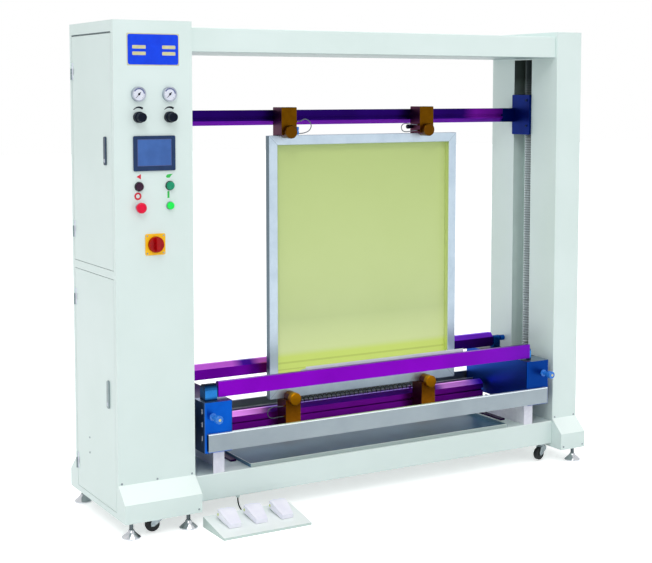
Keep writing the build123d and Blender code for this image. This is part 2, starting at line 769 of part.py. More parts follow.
# Air hoses that loop from each clamp's valve port to its cylinder
hose_diameter = 4
hose_points = {  # X outward from the port, Z
    "hose_upper_left": [(0, 1560), (17, 1560), (38, 1573), (60, 1561), (69, 1540), (58, 1521),
                        (37, 1512), (17, 1510), (0, 1510)],
    "hose_upper_right": [(0, 1540), (20, 1540), (42, 1544), (66, 1546), (80, 1543), (88, 1533),
                         (86, 1520), (77, 1512), (62, 1509), (40, 1511), (20, 1514), (0, 1514)],
    "hose_lower_left": [(0, 358), (22, 358), (46, 362), (66, 357), (78, 345), (78, 330),
                        (68, 318), (50, 312), (24, 314), (0, 314)],
}
hose_bow = 6
for name, points in hose_points.items():
    clamp_name = name.replace("hose", "clamp")
    port_side = hose_ports[clamp_name][0]
    clamp_x = {**upper_clamps, **lower_clamps}[clamp_name]
    start = clamp_x + port_side * (clamp_half + port_length)
    last = len(points) - 1
    route = []
    for index, (out, z) in enumerate(points):
        bow = hose_bow * sin(pi * (index - 1) / (last - 2)) if 0 < index < last else 0
        route.append((start + port_side * out, port_y - bow, z))
    cord_tube(route, hose_diameter, name)


# Coiled hose on top of the lower beam: a helix of biarcs, each half a turn, with a straight
# run of one wire diameter at each end
def helix_point(turn):
    angle = 2 * pi * turn
    return Vector(coil_left + coil_pitch * turn, beam_y + coil_radius * sin(angle),
                  coil_z - coil_radius * cos(angle))


def helix_tangent(turn):
    angle = 2 * pi * turn
    along = Vector(coil_pitch / (2 * pi), coil_radius * cos(angle), coil_radius * sin(angle))
    return along.normalized()


def biarc_reach(start, start_dir, end, end_dir):
    """Reach along both tangents at which the two arcs of a biarc meet."""
    chord = end - start
    spread = start_dir + end_dir
    a = spread.dot(spread) - 4
    b = -2 * chord.dot(spread)
    c = chord.dot(chord)
    return (-b - (b * b - 4 * a * c) ** 0.5) / (2 * a)


with BuildPart() as coiled_hose:
    with BuildLine() as helix:
        Line(coil_start - coil_dir * coil_wire, coil_start)
        for half in range(2 * coil_turns):
            start, end = helix_point(half / 2), helix_point((half + 1) / 2)
            start_dir, end_dir = helix_tangent(half / 2), helix_tangent((half + 1) / 2)
            reach = biarc_reach(start, start_dir, end, end_dir)
            meeting = (start + start_dir * reach + end - end_dir * reach) * 0.5
            first = TangentArc(start, meeting, tangent=start_dir)
            TangentArc(meeting, end, tangent=first % 1)
        Line(coil_end, coil_end + coil_dir * coil_wire)
    with BuildSketch(Plane(coil_start - coil_dir * coil_wire, z_dir=coil_dir)):
        Circle(coil_wire / 2)
    sweep(path=helix.wire())
samples = [helix.wire() @ (index / 800) for index in range(801)]
gap = min((samples[i] - samples[j]).length for i in range(801) for j in range(i + 24, 801, 2))
print("coiled_hose length", round(helix.wire().length, 1), "least self-gap", round(gap - coil_wire, 2))
save(coiled_hose.part, "coiled_hose")

# Cheeks at the ends of the coating carriage, each on its own rail
with BuildPart() as end_cheeks:
    for side in (-1, 1):
        outer_x = inward(side, -cheek_gap)
        middle_x = outer_x - side * cheek_width / 2
        with BuildSketch(Plane.XY.offset(cheek_low)):
            with Locations((middle_x, (cheek_front + cheek_rear) / 2)):
                RectangleRounded(cheek_width, cheek_rear - cheek_front, 10)
        extrude(amount=cheek_high - cheek_low)
        add(carriage(side, cheek_low + 25, cheek_high - 25, outer_x))
        # Bore of the adjusting knob
        with BuildSketch(Plane.XZ.offset(-cheek_front)):
            with Locations((side * 823 + x_mid, 418)):
                Circle(6 + running_gap)
        extrude(amount=-31, mode=Mode.SUBTRACT)
save(end_cheeks.part, "end_cheeks")

# Drip channels across the front and back of the carriage
channel_low, channel_high = 281, 352
channel_left, channel_right = -757, 930
gutter_depth = 60
gutter_left = inward(-1, -cheek_gap - cheek_width - 1)
gutter_right = inward(1, -cheek_gap - cheek_width - 1)
with BuildPart() as drip_channels:
    with BuildSketch(Plane.YZ.offset(channel_left)):
        with Locations((cheek_front - 13 + 1.25, (channel_low + channel_high) / 2)):
            Rectangle(2.5, channel_high - channel_low)
        with Locations((cheek_front - 6.5, channel_high - 1.25)):
            Rectangle(13, 2.5)
        with Locations((cheek_front - 6.5, channel_low + 1.25)):
            Rectangle(13, 2.5)
    extrude(amount=channel_right - channel_left)
    with BuildSketch(Plane.YZ.offset(gutter_left)):
        with Locations((cheek_front + gutter_depth / 2 - 1, channel_low + 1.25)):
            Rectangle(gutter_depth + 2, 2.5)
        with Locations((cheek_front + gutter_depth - 1.25, channel_low + 25)):
            Rectangle(2.5, 50)
    extrude(amount=gutter_right - gutter_left)
    mirror(about=Plane.XZ.offset(-(cheek_front + cheek_rear) / 2))
save(drip_channels.part, "drip_channels")

# Pivots of the coating bars: a rotary actuator at one end, a slim plate at the other
pivot_gap = 2
pin_radius = 8
actuator_gap = 9


def pivot_block(bar_y, start, length, half):
    """Block on a cheek, round about the pivot's axis, from start along X."""
    centre_y = bar_y + bar_depth / 2
    with BuildPart() as block:
        with BuildSketch(Plane.YZ.offset(start)):
            with BuildLine():
                Line((centre_y - half, cheek_high + 0.5), (centre_y - half, pivot_z))
                ThreePointArc((centre_y - half, pivot_z), (centre_y, pivot_z + half),
                              (centre_y + half, pivot_z))
                Polyline((centre_y + half, pivot_z), (centre_y + half, cheek_high + 0.5),
                         (centre_y - half, cheek_high + 0.5))
            make_face()
        extrude(amount=length)
    return block.part


def pivot_shaft(bar_y, start, length, radius):
    """Round length about the pivot's axis, from start along X."""
    with BuildPart() as shaft:
        with BuildSketch(Plane.YZ.offset(start)):
            with Locations((bar_y + bar_depth / 2, pivot_z)):
                Circle(radius)
        extrude(amount=length)
    return shaft.part


with BuildPart() as front_pivots:
    add(pivot_block(front_bar_y, bar_left - actuator_gap, -52, 25))
    add(pivot_block(front_bar_y, bar_right + pivot_gap, 8, 14))
    for side, bar_end in ((-1, bar_left), (1, bar_right)):
        add(pivot_shaft(front_bar_y, bar_end - side * 15, side * (25 + pivot_gap), pin_radius))
save(front_pivots.part, "front_pivots")

# The rear actuator is a slim one, with a rotary air union on its outer end
with BuildPart() as rear_pivots:
    add(pivot_block(rear_bar_y, bar_left - pivot_gap, -8, 14))
    add(pivot_block(rear_bar_y, rear_bar_right + actuator_gap, 36, 15))
    for side, bar_end in ((-1, bar_left), (1, rear_bar_right)):
        add(pivot_shaft(rear_bar_y, bar_end - side * 15, side * (25 + pivot_gap), pin_radius))
    add(pivot_shaft(rear_bar_y, rear_bar_right + actuator_gap + 36, 6, 9))
    add(pivot_shaft(rear_bar_y, rear_bar_right + actuator_gap + 42, 24, 13))
save(rear_pivots.part, "rear_pivots")


# Coating bars and their troughs; toward is 1 where the screen lies behind the bar
def coating_bar(bar_y, right_end, toward, label):
    with BuildPart() as bar:
        with BuildSketch(Plane.YZ.offset(bar_left)) as section:
            with Locations((bar_y + bar_depth / 2, pivot_z)):
                Rectangle(bar_depth, bar_high - bar_low)
            upper = section.vertices().group_by(Axis.Y)[-1].sort_by(Axis.X)
            chamfer(upper[-1 if toward > 0 else 0], 16)
            with Locations((bar_y + bar_depth / 2, bar_low + 3)):
                Rectangle(8, 6, mode=Mode.SUBTRACT)
        extrude(amount=right_end - bar_left)
        for x, amount in ((bar_left, 20), (right_end, -20)):
            with BuildSketch(Plane.YZ.offset(x)):
                with Locations((bar_y + bar_depth / 2, pivot_z)):
                    Circle(pin_radius + running_gap)
            extrude(amount=amount, mode=Mode.SUBTRACT)
    save(bar.part, label)


def trough(bar_y, toward, label):
    face = bar_y + bar_depth if toward > 0 else bar_y

    def at(reach, z):
        return (face + toward * reach, z)

    with BuildPart() as scoop:
        with BuildSketch(Plane.YZ.offset(trough_left)):
            with BuildLine():
                Polyline(at(0, 510), at(0, 556), at(2.5, 556), at(2.5, 511))
                ThreePointArc(at(2.5, 511), at(7, 501), at(17, 498))
                Polyline(at(17, 498), at(26, 500), at(trough_reach - 2.5, 535))
                Polyline(at(trough_reach - 2.5, 535), at(trough_reach, 535), at(28, 497.5))
                Polyline(at(28, 497.5), at(17, 495.5))
                ThreePointArc(at(17, 495.5), at(5, 499), at(0, 510))
            make_face()
        extrude(amount=trough_right - trough_left)
        for x in (trough_left, trough_right - 3):
            with BuildSketch(Plane.YZ.offset(x)):
                with BuildLine():
                    Polyline(at(0, 510), at(0, 550), at(trough_reach, 535), at(28, 497.5),
                             at(17, 495.5))
                    ThreePointArc(at(17, 495.5), at(5, 499), at(0, 510))
                make_face()
            extrude(amount=3)
    save(scoop.part, label)


coating_bar(front_bar_y, bar_right, 1, "front_bar")
coating_bar(rear_bar_y, rear_bar_right, -1, "rear_bar")
trough(front_bar_y, 1, "front_trough")
trough(rear_bar_y, -1, "rear_trough")


# Turned knobs: half profiles about an axis that points to the front
def turned(x, z, profile, label):
    with BuildPart() as knob:
        with BuildSketch(Plane((x, 0, z), (1, 0, 0), (0, 0, 1))):
            with BuildLine():
                Polyline(*profile, close=True)
            make_face()
        revolve(axis=Axis((x, 0, z), (0, 1, 0)))
    return knob


for name, side in (("knob_left", -1), ("knob_right", 1)):
    f = cheek_front
    knob_profile = [(0, f + 29), (6, f + 29), (6, f - 0.5), (15, f - 0.5), (15, f - 6), (9, f - 8),
                    (9, f - 40), (16, f - 42), (16, f - 62), (13, f - 65), (0, f - 65)]
    save(turned(side * 823 + x_mid, 418, knob_profile, name).part, name)

for name, x in (("regulator_left", gauge_columns[0]), ("regulator_right", gauge_columns[1])):
    f = y_front
    regulator_profile = [(0, f + 20), (11, f + 20), (11, f - 0.5), (21, f - 0.5), (21, f - 20),
                         (18, f - 24), (17, f - 44), (15, f - 46), (0, f - 46)]
    save(turned(x, regulator_z, regulator_profile, name).part, name)

cap_profiles = {
    "up_button": [(0, 30), (8, 30), (8, -4.5), (16, -4.5), (16, -10), (13, -15), (0, -16)],
    "down_button": [(0, 30), (8, 30), (8, -4.5), (16, -4.5), (16, -10), (13, -15), (0, -16)],
    "start_button": [(0, 30), (8, 30), (8, -4.5), (14, -4.5), (14, -11), (12, -12), (0, -12)],
    "stop_button": [(0, 30), (8, 30), (8, -5), (11, -5), (11, -18), (20, -19), (20, -27),
                    (15, -33), (0, -34)],
}
for name, (column, z) in button_rows.items():
    profile = [(radius, y_front + out) for radius, out in cap_profiles[name]]
    save(turned(gauge_columns[column], z, profile, name).part, name)

# Main switch: a round knob with a grip bar across it
with BuildPart() as main_switch:
    with BuildSketch(front_plane.offset(6)):
        with Locations((panel_centre, switch_z)):
            Circle(31)
    extrude(amount=12, taper=6)
    with BuildSketch(front_plane.offset(6)):
        with Locations((panel_centre, switch_z)):
            SlotOverall(52, 15, rotation=90)
    extrude(amount=30)
    with BuildSketch(front_plane.offset(6)):
        with Locations((panel_centre, switch_z)):
            Circle(7.7)
    extrude(amount=-30)
save(main_switch.part, "main_switch")

# Doors: pans of folded sheet with hinge knuckles and the lock's bore
for name, (low, high) in doors.items():
    handle_name = name.replace("door", "handle")
    lock_z = door_handles[handle_name] + handle_lock
    with BuildPart() as door:
        with BuildSketch(Plane.YZ.offset(x_left)):
            with Locations(((door_front + hinge_y) / 2, (low + high) / 2)):
                Rectangle(hinge_y - door_front - 2 * door_gap, high - low - 2 * door_gap)
        extrude(amount=15)
        inside = door.faces().sort_by(Axis.X)[-1]
        offset(amount=-2.5, openings=inside)
        for centre in door_hinges[name]:
            for offset_z in (-34, 12):
                with BuildSketch(Plane.XY.offset(centre + offset_z)):
                    with Locations((hinge_x, hinge_y)):
                        Circle(3.5)
                    with Locations((x_left - 0.75, hinge_y - 10)):
                        Rectangle(1.5, 18)
                extrude(amount=22)
        with BuildSketch(Plane.YZ.offset(x_left - 1)):
            with Locations((handle_y, lock_z)):
                Circle(7.4)
        extrude(amount=10, mode=Mode.SUBTRACT)
    save(door.part, name)

# Door handles: a bar that turns about the lock near its lower end
for name, low in door_handles.items():
    lock_z = low + handle_lock
    with BuildPart() as handle:
        with BuildSketch(Plane.YZ.offset(x_left - 0.5)):
            with Locations((handle_y, low + handle_height / 2)):
                RectangleRounded(handle_width, handle_height, 8)
        extrude(amount=-6)
        chamfer(handle.faces().sort_by(Axis.X)[0].edges(), 1.5)
        with BuildSketch(Plane.YZ.offset(x_left - 0.5)):
            with Locations((handle_y, lock_z)):
                Circle(7)
        extrude(amount=22)
        with BuildSketch(Plane.YZ.offset(x_left + 18)):
            with Locations((handle_y - 14, lock_z)):
                Rectangle(44, 14)
        extrude(amount=3)
    save(handle.part, name)
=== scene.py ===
import math

import bmesh
import bpy
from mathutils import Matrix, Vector


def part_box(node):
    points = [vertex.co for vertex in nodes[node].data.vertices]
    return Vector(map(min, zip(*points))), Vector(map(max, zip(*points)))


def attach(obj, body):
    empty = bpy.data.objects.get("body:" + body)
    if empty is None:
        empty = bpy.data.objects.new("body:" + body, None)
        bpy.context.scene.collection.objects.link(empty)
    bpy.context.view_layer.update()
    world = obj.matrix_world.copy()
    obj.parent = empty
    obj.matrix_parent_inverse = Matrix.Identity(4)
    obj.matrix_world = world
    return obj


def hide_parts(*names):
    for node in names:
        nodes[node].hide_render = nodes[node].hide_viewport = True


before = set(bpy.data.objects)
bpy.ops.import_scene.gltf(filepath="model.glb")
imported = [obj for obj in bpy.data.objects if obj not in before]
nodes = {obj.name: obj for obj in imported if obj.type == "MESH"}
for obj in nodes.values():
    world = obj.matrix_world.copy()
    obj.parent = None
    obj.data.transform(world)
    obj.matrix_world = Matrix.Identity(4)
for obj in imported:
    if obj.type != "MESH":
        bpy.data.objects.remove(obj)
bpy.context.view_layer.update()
linkToScene = bpy.context.scene.collection.objects.link
mm = 0.001
print("frame loaded:", len(nodes), "nodes")


# Helpers for shaders
def linear(hexColour):
    # sRGB hex to the linear colour that the shaders use
    channels = [int(hexColour[i:i + 2], 16) / 255 for i in (1, 3, 5)]
    curve = [c / 12.92 if c <= 0.04045 else ((c + 0.055) / 1.055) ** 2.4 for c in channels]
    return (*curve, 1.0)


def addNode(tree, kind, settings=None, values=None, links=None):
    # one shader node with its settings, socket values and incoming links
    node = tree.nodes.new(kind)
    for key, value in (settings or {}).items():
        setattr(node, key, value)
    for key, value in (values or {}).items():
        node.inputs[key].default_value = value
    for key, source in (links or {}).items():
        tree.links.new(source, node.inputs[key])
    return node


# what a finish has where its own dictionary doesn't say otherwise
usualFinish = {"grainMm": 0.8, "stretch": (1, 1, 1), "rough": (0.3, 0.42), "bumpMm": 0.01,
               "relief": 0.3, "specular": 0.5}


def finishedMaterial(name, look, uniform):
    # cloudy colour, uneven gloss and a fine relief, all sized from millimetres, while what is the
    # same all over is set on the shader's own sockets
    look = {**usualFinish, **look}
    material = bpy.data.materials.new(name)
    material.use_nodes = True
    tree = material.node_tree
    shader = tree.nodes["Principled BSDF"]
    for socket, value in uniform.items():
        shader.inputs[socket].default_value = value
    shader.inputs["Specular IOR Level"].default_value = look["specular"]
    place = addNode(tree, "ShaderNodeTexCoord").outputs["Object"]
    grainPlace = addNode(tree, "ShaderNodeMapping", values={"Scale": look["stretch"]},
                         links={"Vector": place}).outputs[0]
    cloud = addNode(tree, "ShaderNodeTexNoise",
                    values={"Scale": 1000 / look["cloudMm"], "Detail": 3.0, "Roughness": 0.55},
                    links={"Vector": place})
    grain = addNode(tree, "ShaderNodeTexNoise", values={"Scale": 1000 / look["grainMm"]},
                    links={"Vector": grainPlace})
    spread = addNode(tree, "ShaderNodeMapRange", values={"From Min": 0.35, "From Max": 0.65},
                     links={"Value": cloud.outputs["Fac"]})
    tint = addNode(tree, "ShaderNodeMix", {"data_type": "RGBA"},
                   {6: linear(look["colour"]), 7: linear(look["shade"])},
                   {0: spread.outputs[0]})
    gloss = addNode(tree, "ShaderNodeMapRange",
                    values={"From Min": 0.3, "From Max": 0.7,
                            "To Min": look["rough"][0], "To Max": look["rough"][1]},
                    links={"Value": grain.outputs["Fac"]})
    relief = addNode(tree, "ShaderNodeBump",
                     values={"Strength": look["relief"], "Distance": look["bumpMm"] * mm},
                     links={"Height": grain.outputs["Fac"]})
    tree.links.new(tint.outputs[2], shader.inputs["Base Color"])
    tree.links.new(gloss.outputs[0], shader.inputs["Roughness"])
    tree.links.new(relief.outputs[0], shader.inputs["Normal"])
    return material


def sprayedPaint(name, look):
    # thermoset powder or enamel: a soft sheen with a fine orange peel under a clear skin
    return finishedMaterial(name, look, {"Metallic": 0.0, "IOR": 1.5})


def brushedMetal(name, look):
    # bare metal drawn or brushed one way: long fine scratches that spread the highlight
    return finishedMaterial(name, look, {"Metallic": 1.0})


def anodisedMetal(name, look):
    # dyed oxide on etched aluminium: the metal's own reflections in the dye's deep colour
    return brushedMetal(name, {"grainMm": 0.9, **look})


def mouldedPlastic(name, look):
    # ABS, nylon or polyurethane from a polished or sparked tool
    return finishedMaterial(name, look, {"Metallic": 0.0, "IOR": 1.53})


def axesOf(tree, output="Object"):
    # X, Y and Z of the object's own coordinate in metres, or of its surface normal
    vector = addNode(tree, "ShaderNodeTexCoord").outputs[output]
    return addNode(tree, "ShaderNodeSeparateXYZ", links={"Vector": vector}).outputs


def tintRegion(material, hexColour, inside=None, facing=None, fades=(), bands=()):
    # lays a colour over one region of the surface: inside limits of X, Y or Z in metres, facing
    # between limits of the normal, fading in along an axis, or where a socket is in a band
    tree = material.node_tree
    limits = list(bands)
    for output, ranges in (("Object", inside), ("Normal", facing)):
        if ranges:
            axes = axesOf(tree, output)
            limits += [(axes[axis], *pair) for axis, pair in ranges.items()]
    masks = []
    for source, low, high in limits:
        masks += [
            addNode(tree, "ShaderNodeMath", {"operation": "GREATER_THAN"}, {1: low}, {0: source}),
            addNode(tree, "ShaderNodeMath", {"operation": "LESS_THAN"}, {1: high}, {0: source})]
    for axis, start, end in fades:
        masks.append(addNode(tree, "ShaderNodeMapRange", None, {"From Min": start, "From Max": end},
                             {"Value": axesOf(tree)[axis]}))
    whole = masks[0].outputs[0]
    for mask in masks[1:]:
        whole = addNode(tree, "ShaderNodeMath", {"operation": "MULTIPLY"}, None,
                        {0: whole, 1: mask.outputs[0]}).outputs[0]
    baseColour = tree.nodes["Principled BSDF"].inputs["Base Color"]
    tinted = addNode(tree, "ShaderNodeMix", {"data_type": "RGBA"}, {7: linear(hexColour)},
                     {0: whole, 6: baseColour.links[0].from_socket})
    tree.links.new(tinted.outputs[2], baseColour)


# Finishes
alongAxis = (0.7, 1.1)  # limits of a normal that points along an axis
againstAxis = (-1.1, -0.7)  # and against it
straightAgainst = (-1.1, -0.8)
# painted shade over the upper insides of the columns, their guide plates and belts
paintedShadeFade = ("Z", 1.5, 1.75)  # the columns' insides darken between these heights
paintedShadeColour = "#46534F"

# epoxy-polyester powder coat, sprayed and baked: pale mint-white, orange peel about 1.5 mm
powderCoat = sprayedPaint("powderCoatMintWhite", {
    "colour": "#DAE9E7", "shade": "#D5E5E2", "cloudMm": 400, "grainMm": 1.5,
    "rough": (0.36, 0.46), "bumpMm": 0.03, "relief": 0.25})
# the columns' insides: painted light below, painted shade above
columnInside = {"X": (0.9855, 1.1185), "Y": (-0.1435, 0.3235), "Z": (0.1, 1.949)}
tintRegion(powderCoat, "#F2FDFA", columnInside)
tintRegion(powderCoat, paintedShadeColour, columnInside, fades=[paintedShadeFade])
# the plinths' slopes catch the light, and the cross beam's underside lies in its own shade
tintRegion(powderCoat, "#EAF6F3", {"Z": (0.06, 0.24)},
           facing={"Y": (-0.95, -0.3), "Z": (0.3, 0.95)})
tintRegion(powderCoat, "#9DB2B2", {"X": (-0.803, 0.983), "Z": (1.8, 1.84)},
           facing={"Z": againstAxis})

# stoved slate-blue enamel of the drip pan with a rolled pale rim
panEnamel = sprayedPaint("stovedSlateEnamel", {
    "colour": "#557A92", "shade": "#496E84", "cloudMm": 220, "grainMm": 1.5,
    "rough": (0.3, 0.4), "bumpMm": 0.02, "specular": 0.3})
tintRegion(panEnamel, "#9FB0AE", facing={"Y": straightAgainst})  # front
tintRegion(panEnamel, "#C6D4D0", {"Z": (0.1985, 0.21)})  # rim

# white powder coat inside the columns with a steel rail; painted shade darkens the plates towards
# the top and the rail's sides
guidePaint = sprayedPaint("powderCoatGuidePlate", {
    "colour": "#D0E4DF", "shade": "#C8DCD7", "cloudMm": 120, "grainMm": 1.5,
    "rough": (0.4, 0.55), "bumpMm": 0.03})
tintRegion(guidePaint, paintedShadeColour, fades=[paintedShadeFade])
# painted shade on the rail's sides
for railSides in ((-0.8701, -0.8545), (1.0345, 1.0501)):
    tintRegion(guidePaint, "#2E3B3F", {"X": railSides, "Y": (0.1155, 0.1365)})

# brushed aluminium tube of the screen frame, mitred and welded at its corners
frameAluminium = brushedMetal("brushedAluminiumTube", {
    "colour": "#BDCCD9", "shade": "#B3C3D1", "cloudMm": 90, "grainMm": 1.2,
    "stretch": (0.15, 1, 0.15), "rough": (0.34, 0.5), "bumpMm": 0.02})
# painted shade on the frame's sides that face left
tintRegion(frameAluminium, "#5D6E79", facing={"X": straightAgainst})
# painted reflection of the mesh on the frame's inner side
tintRegion(frameAluminium, "#E9EEC6", {"X": (0.3, 0.6)}, facing={"X": straightAgainst})
seamLook = {"colour": "#8393A2", "half": 0.9, "length": 41, "margin": 1}
frameTree = frameAluminium.node_tree
framePlace = axesOf(frameTree)


def weldSeam(cornerX, cornerZ):
    # dark hairline of a mitre: equally far from the frame's side and its end
    distances = []
    for source, corner in ((framePlace["X"], cornerX), (framePlace["Z"], cornerZ)):
        shift = addNode(frameTree, "ShaderNodeMath", {"operation": "SUBTRACT"}, {1: corner},
                        {0: source})
        distances.append(addNode(frameTree, "ShaderNodeMath", {"operation": "ABSOLUTE"}, None,
                                 {0: shift.outputs[0]}).outputs[0])
    fromSide, fromEnd = distances
    gap = addNode(frameTree, "ShaderNodeMath", {"operation": "SUBTRACT"}, None,
                  {0: fromSide, 1: fromEnd}).outputs[0]
    tintRegion(frameAluminium, seamLook["colour"], bands=[
        (gap, -seamLook["half"] * mm, seamLook["half"] * mm),
        (fromSide, -seamLook["margin"] * mm, seamLook["length"] * mm)])


screenLow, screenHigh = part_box("screen_frame")
for cornerX in (screenLow.x, screenHigh.x):
    for cornerZ in (screenLow.z, screenHigh.z):
        weldSeam(cornerX, cornerZ)

# folded aluminium sheet, milled finish with the rolling lines along X; its upward faces and upper
# fold carry painted highlights
sheetAluminium = brushedMetal("rolledAluminiumSheet", {
    "colour": "#949FA6", "shade": "#8A959D", "cloudMm": 220, "grainMm": 1.0,
    "stretch": (0.02, 1, 1), "rough": (0.34, 0.5), "bumpMm": 0.02})
# painted highlight on the upward faces and along the upper fold
tintRegion(sheetAluminium, "#E3EAEC", facing={"Z": alongAxis})
tintRegion(sheetAluminium, "#DCE5E9", {"Z": (0.3478, 0.3525)})  # upper fold
# white PTFE-coated sheet of the emulsion troughs
troughCoat = sprayedPaint("ptfeCoatedTrough", {
    "colour": "#E8F0F0", "shade": "#DEE7E8", "cloudMm": 120, "grainMm": 1.0, "bumpMm": 0.015})
# white enamel of the pedal board: bright top, its front and sides painted darker as shade
boardEnamel = sprayedPaint("whiteBoardEnamel", {
    "colour": "#F0F6F5", "shade": "#EAF2F0", "cloudMm": 120, "grainMm": 1.5,
    "rough": (0.4, 0.5), "bumpMm": 0.03})
tintRegion(boardEnamel, "#C4D6D1", facing={"Z": (-1.1, 0.6)})
# lavender-white enamel of the rest brackets
bracketEnamel = sprayedPaint("lavenderBracketEnamel", {
    "colour": "#E3E5F0", "shade": "#D9DBE8", "cloudMm": 25, "grainMm": 1.5,
    "rough": (0.4, 0.5), "bumpMm": 0.03})
# ground bearing steel of shafts
groundSteel = brushedMetal("groundSteel", {
    "colour": "#B4B8BD", "shade": "#9FA4AA", "cloudMm": 40, "stretch": (1, 1, 0.05),
    "rough": (0.22, 0.4)})
# nickel-chrome plate over turned steel: near mirror, the feet's stems in the plinths' shade
chromePlate = brushedMetal("chromePlatedSteel", {
    "colour": "#D5D7DA", "shade": "#BFC3C9", "cloudMm": 25, "grainMm": 2.0,
    "rough": (0.12, 0.22), "bumpMm": 0.005})
tintRegion(chromePlate, "#535B5F", {"Z": (0.033, 0.11)})
# satin stainless rims of the gauges
satinStainless = brushedMetal("satinStainlessRim", {
    "colour": "#B9C0CB", "shade": "#9AA2AF", "cloudMm": 18, "grainMm": 0.7,
    "rough": (0.28, 0.4)})
# zinc-plated pressed steel of the caster forks
zincPlate = brushedMetal("zincPlatedSteel", {
    "colour": "#A3AEB2", "shade": "#8A959B", "cloudMm": 12, "grainMm": 1.0,
    "rough": (0.3, 0.5), "bumpMm": 0.02})

# long anodised bars: satin dye with the brushing along X
barGrain = {"cloudMm": 260, "stretch": (0.03, 1, 1)}
# purple anodised bar of the front blade
purpleAnodised = anodisedMetal("anodisedPurpleBar", {
    "colour": "#7C09B2", "shade": "#7208A6", **barGrain})
tintRegion(purpleAnodised, "#4A1C98", fades=[("X", 0.35, 1.5)])
# the same dye on the rear blade, darker towards its right end; its upper bevel carries a painted
# highlight, bluer to the right
rearAnodised = anodisedMetal("anodisedPurpleBlade", {
    "colour": "#6C089E", "shade": "#60068E", **barGrain})
rearBevel = {"Z": (0.5265, 0.56)}
rearFade = ("X", -0.35, 0.75)
tintRegion(rearAnodised, "#38086E", fades=[rearFade])
tintRegion(rearAnodised, "#C860DE", rearBevel)
tintRegion(rearAnodised, "#8A30F0", rearBevel, fades=[rearFade])
# a painted dark reflection between two painted bright ones on the bevel
tintRegion(rearAnodised, "#4A12A6", rearBevel, fades=[("X", -0.47, -0.42), ("X", -0.34, -0.385)])
# indigo dyed extrusion of the upper beam: a painted violet reflection at its right end and a painted
# violet highlight on its lower bevel
indigoAnodised = anodisedMetal("anodisedIndigoBeam", {
    "colour": "#22065C", "shade": "#1C054E", **barGrain})
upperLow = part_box("upper_beam")[0].z
tintRegion(indigoAnodised, "#6A1490", fades=[("X", 0.68, 0.75)])
tintRegion(indigoAnodised, "#7E0EC2", {"Z": (upperLow - mm, upperLow + 18 * mm)})
# violet dyed extrusion of the lower beam: its upper bevel painted lighter, with painted pink
# highlights towards both ends
violetAnodised = anodisedMetal("anodisedVioletBeam", {
    "colour": "#6A0E88", "shade": "#5C0A78", **barGrain})
lowerBevel = {"Z": (0.323, 0.342)}
tintRegion(violetAnodised, "#6A22C2", lowerBevel)
for paintedHighlightEnd in ([("X", 0.53, 0.58), ("X", 0.79, 0.74)],
                    [("X", -0.31, -0.36), ("X", -0.57, -0.52)]):
    tintRegion(violetAnodised, "#EE92FA", lowerBevel, fades=paintedHighlightEnd)
# its feet stand in the shade, painted darker
tintRegion(violetAnodised, "#2E0A42", {"Z": (0.18, 0.21)})

# blue anodised cheeks: bright fronts, painted shade on their sides and over the right cheek, tops
# milled bare
cheekAnodised = anodisedMetal("anodisedBlueCheek", {
    "colour": "#0D56BC", "shade": "#0A4CAC", "cloudMm": 90})
tintRegion(cheekAnodised, "#063480", fades=[("X", -0.6, 0.85)])
tintRegion(cheekAnodised, "#0A3E9A", facing={"X": againstAxis})
tintRegion(cheekAnodised, "#3A5580", {"X": (-1.2, -0.7)}, facing={"X": againstAxis})
tintRegion(cheekAnodised, "#8396A8", {"Y": (-0.2, -0.06)}, facing={"Z": alongAxis})
tintRegion(cheekAnodised, "#0C1A38", {"Y": (-0.06, 0.4)}, facing={"Z": alongAxis})  # rear tops
# dark blue anodised plates of the upper beam
navyAnodised = anodisedMetal("anodisedNavyPlate", {
    "colour": "#05226F", "shade": "#041C62", "cloudMm": 60})
# teal-blue anodised actuators: painted shade darkens their tops and bottoms around a bright middle
actuatorAnodised = anodisedMetal("anodisedBlueActuator", {
    "colour": "#2C78C0", "shade": "#246CB2", "cloudMm": 60, "rough": (0.16, 0.28)})
tintRegion(actuatorAnodised, "#061A34", fades=[("Z", 0.512, 0.534)])
tintRegion(actuatorAnodised, "#0A2C56", fades=[("Z", 0.492, 0.478)])
rearActuatorAnodised = anodisedMetal("anodisedBlueUnion", {
    "colour": "#1560BE", "shade": "#0E4CA6", "cloudMm": 16, "rough": (0.16, 0.28)})


def goldClampFinish(name, look):
    # gold-brown dye on milled block: warm cap, the block painted darker as the beam's shade, the
    # sides painted as shade
    material = anodisedMetal(name, {
        "colour": look["block"], "shade": look["blockShade"], "cloudMm": 30,
        "rough": (0.3, 0.44), "bumpMm": 0.015})
    tintRegion(material, look["side"], facing={"X": againstAxis})
    tintRegion(material, look["cap"], {"Y": (0.04, 0.0665)})
    return material


# the upper clamps: the same gold, painted darker as shade
upperGoldInShade = goldClampFinish("anodisedShadedGoldClamp", {
    "block": "#644003", "blockShade": "#5A3802", "side": "#4C1C36", "cap": "#5E3A06"})
lowerGold = goldClampFinish("anodisedGoldClamp", {
    "block": "#84510A", "blockShade": "#784808", "side": "#552A26", "cap": "#B2760A"})

# polyester mesh with dried yellow-green emulsion, 0.4 mm threads drawn at 2 mm to show
printingMesh = mouldedPlastic("wovenPolyesterMesh", {
    "colour": "#CDDD9C", "shade": "#C8D995", "cloudMm": 500, "grainMm": 2.0,
    "rough": (0.4, 0.55), "bumpMm": 0.05})
meshLow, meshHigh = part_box("screen_mesh")[0].z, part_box("screen_mesh")[1].z
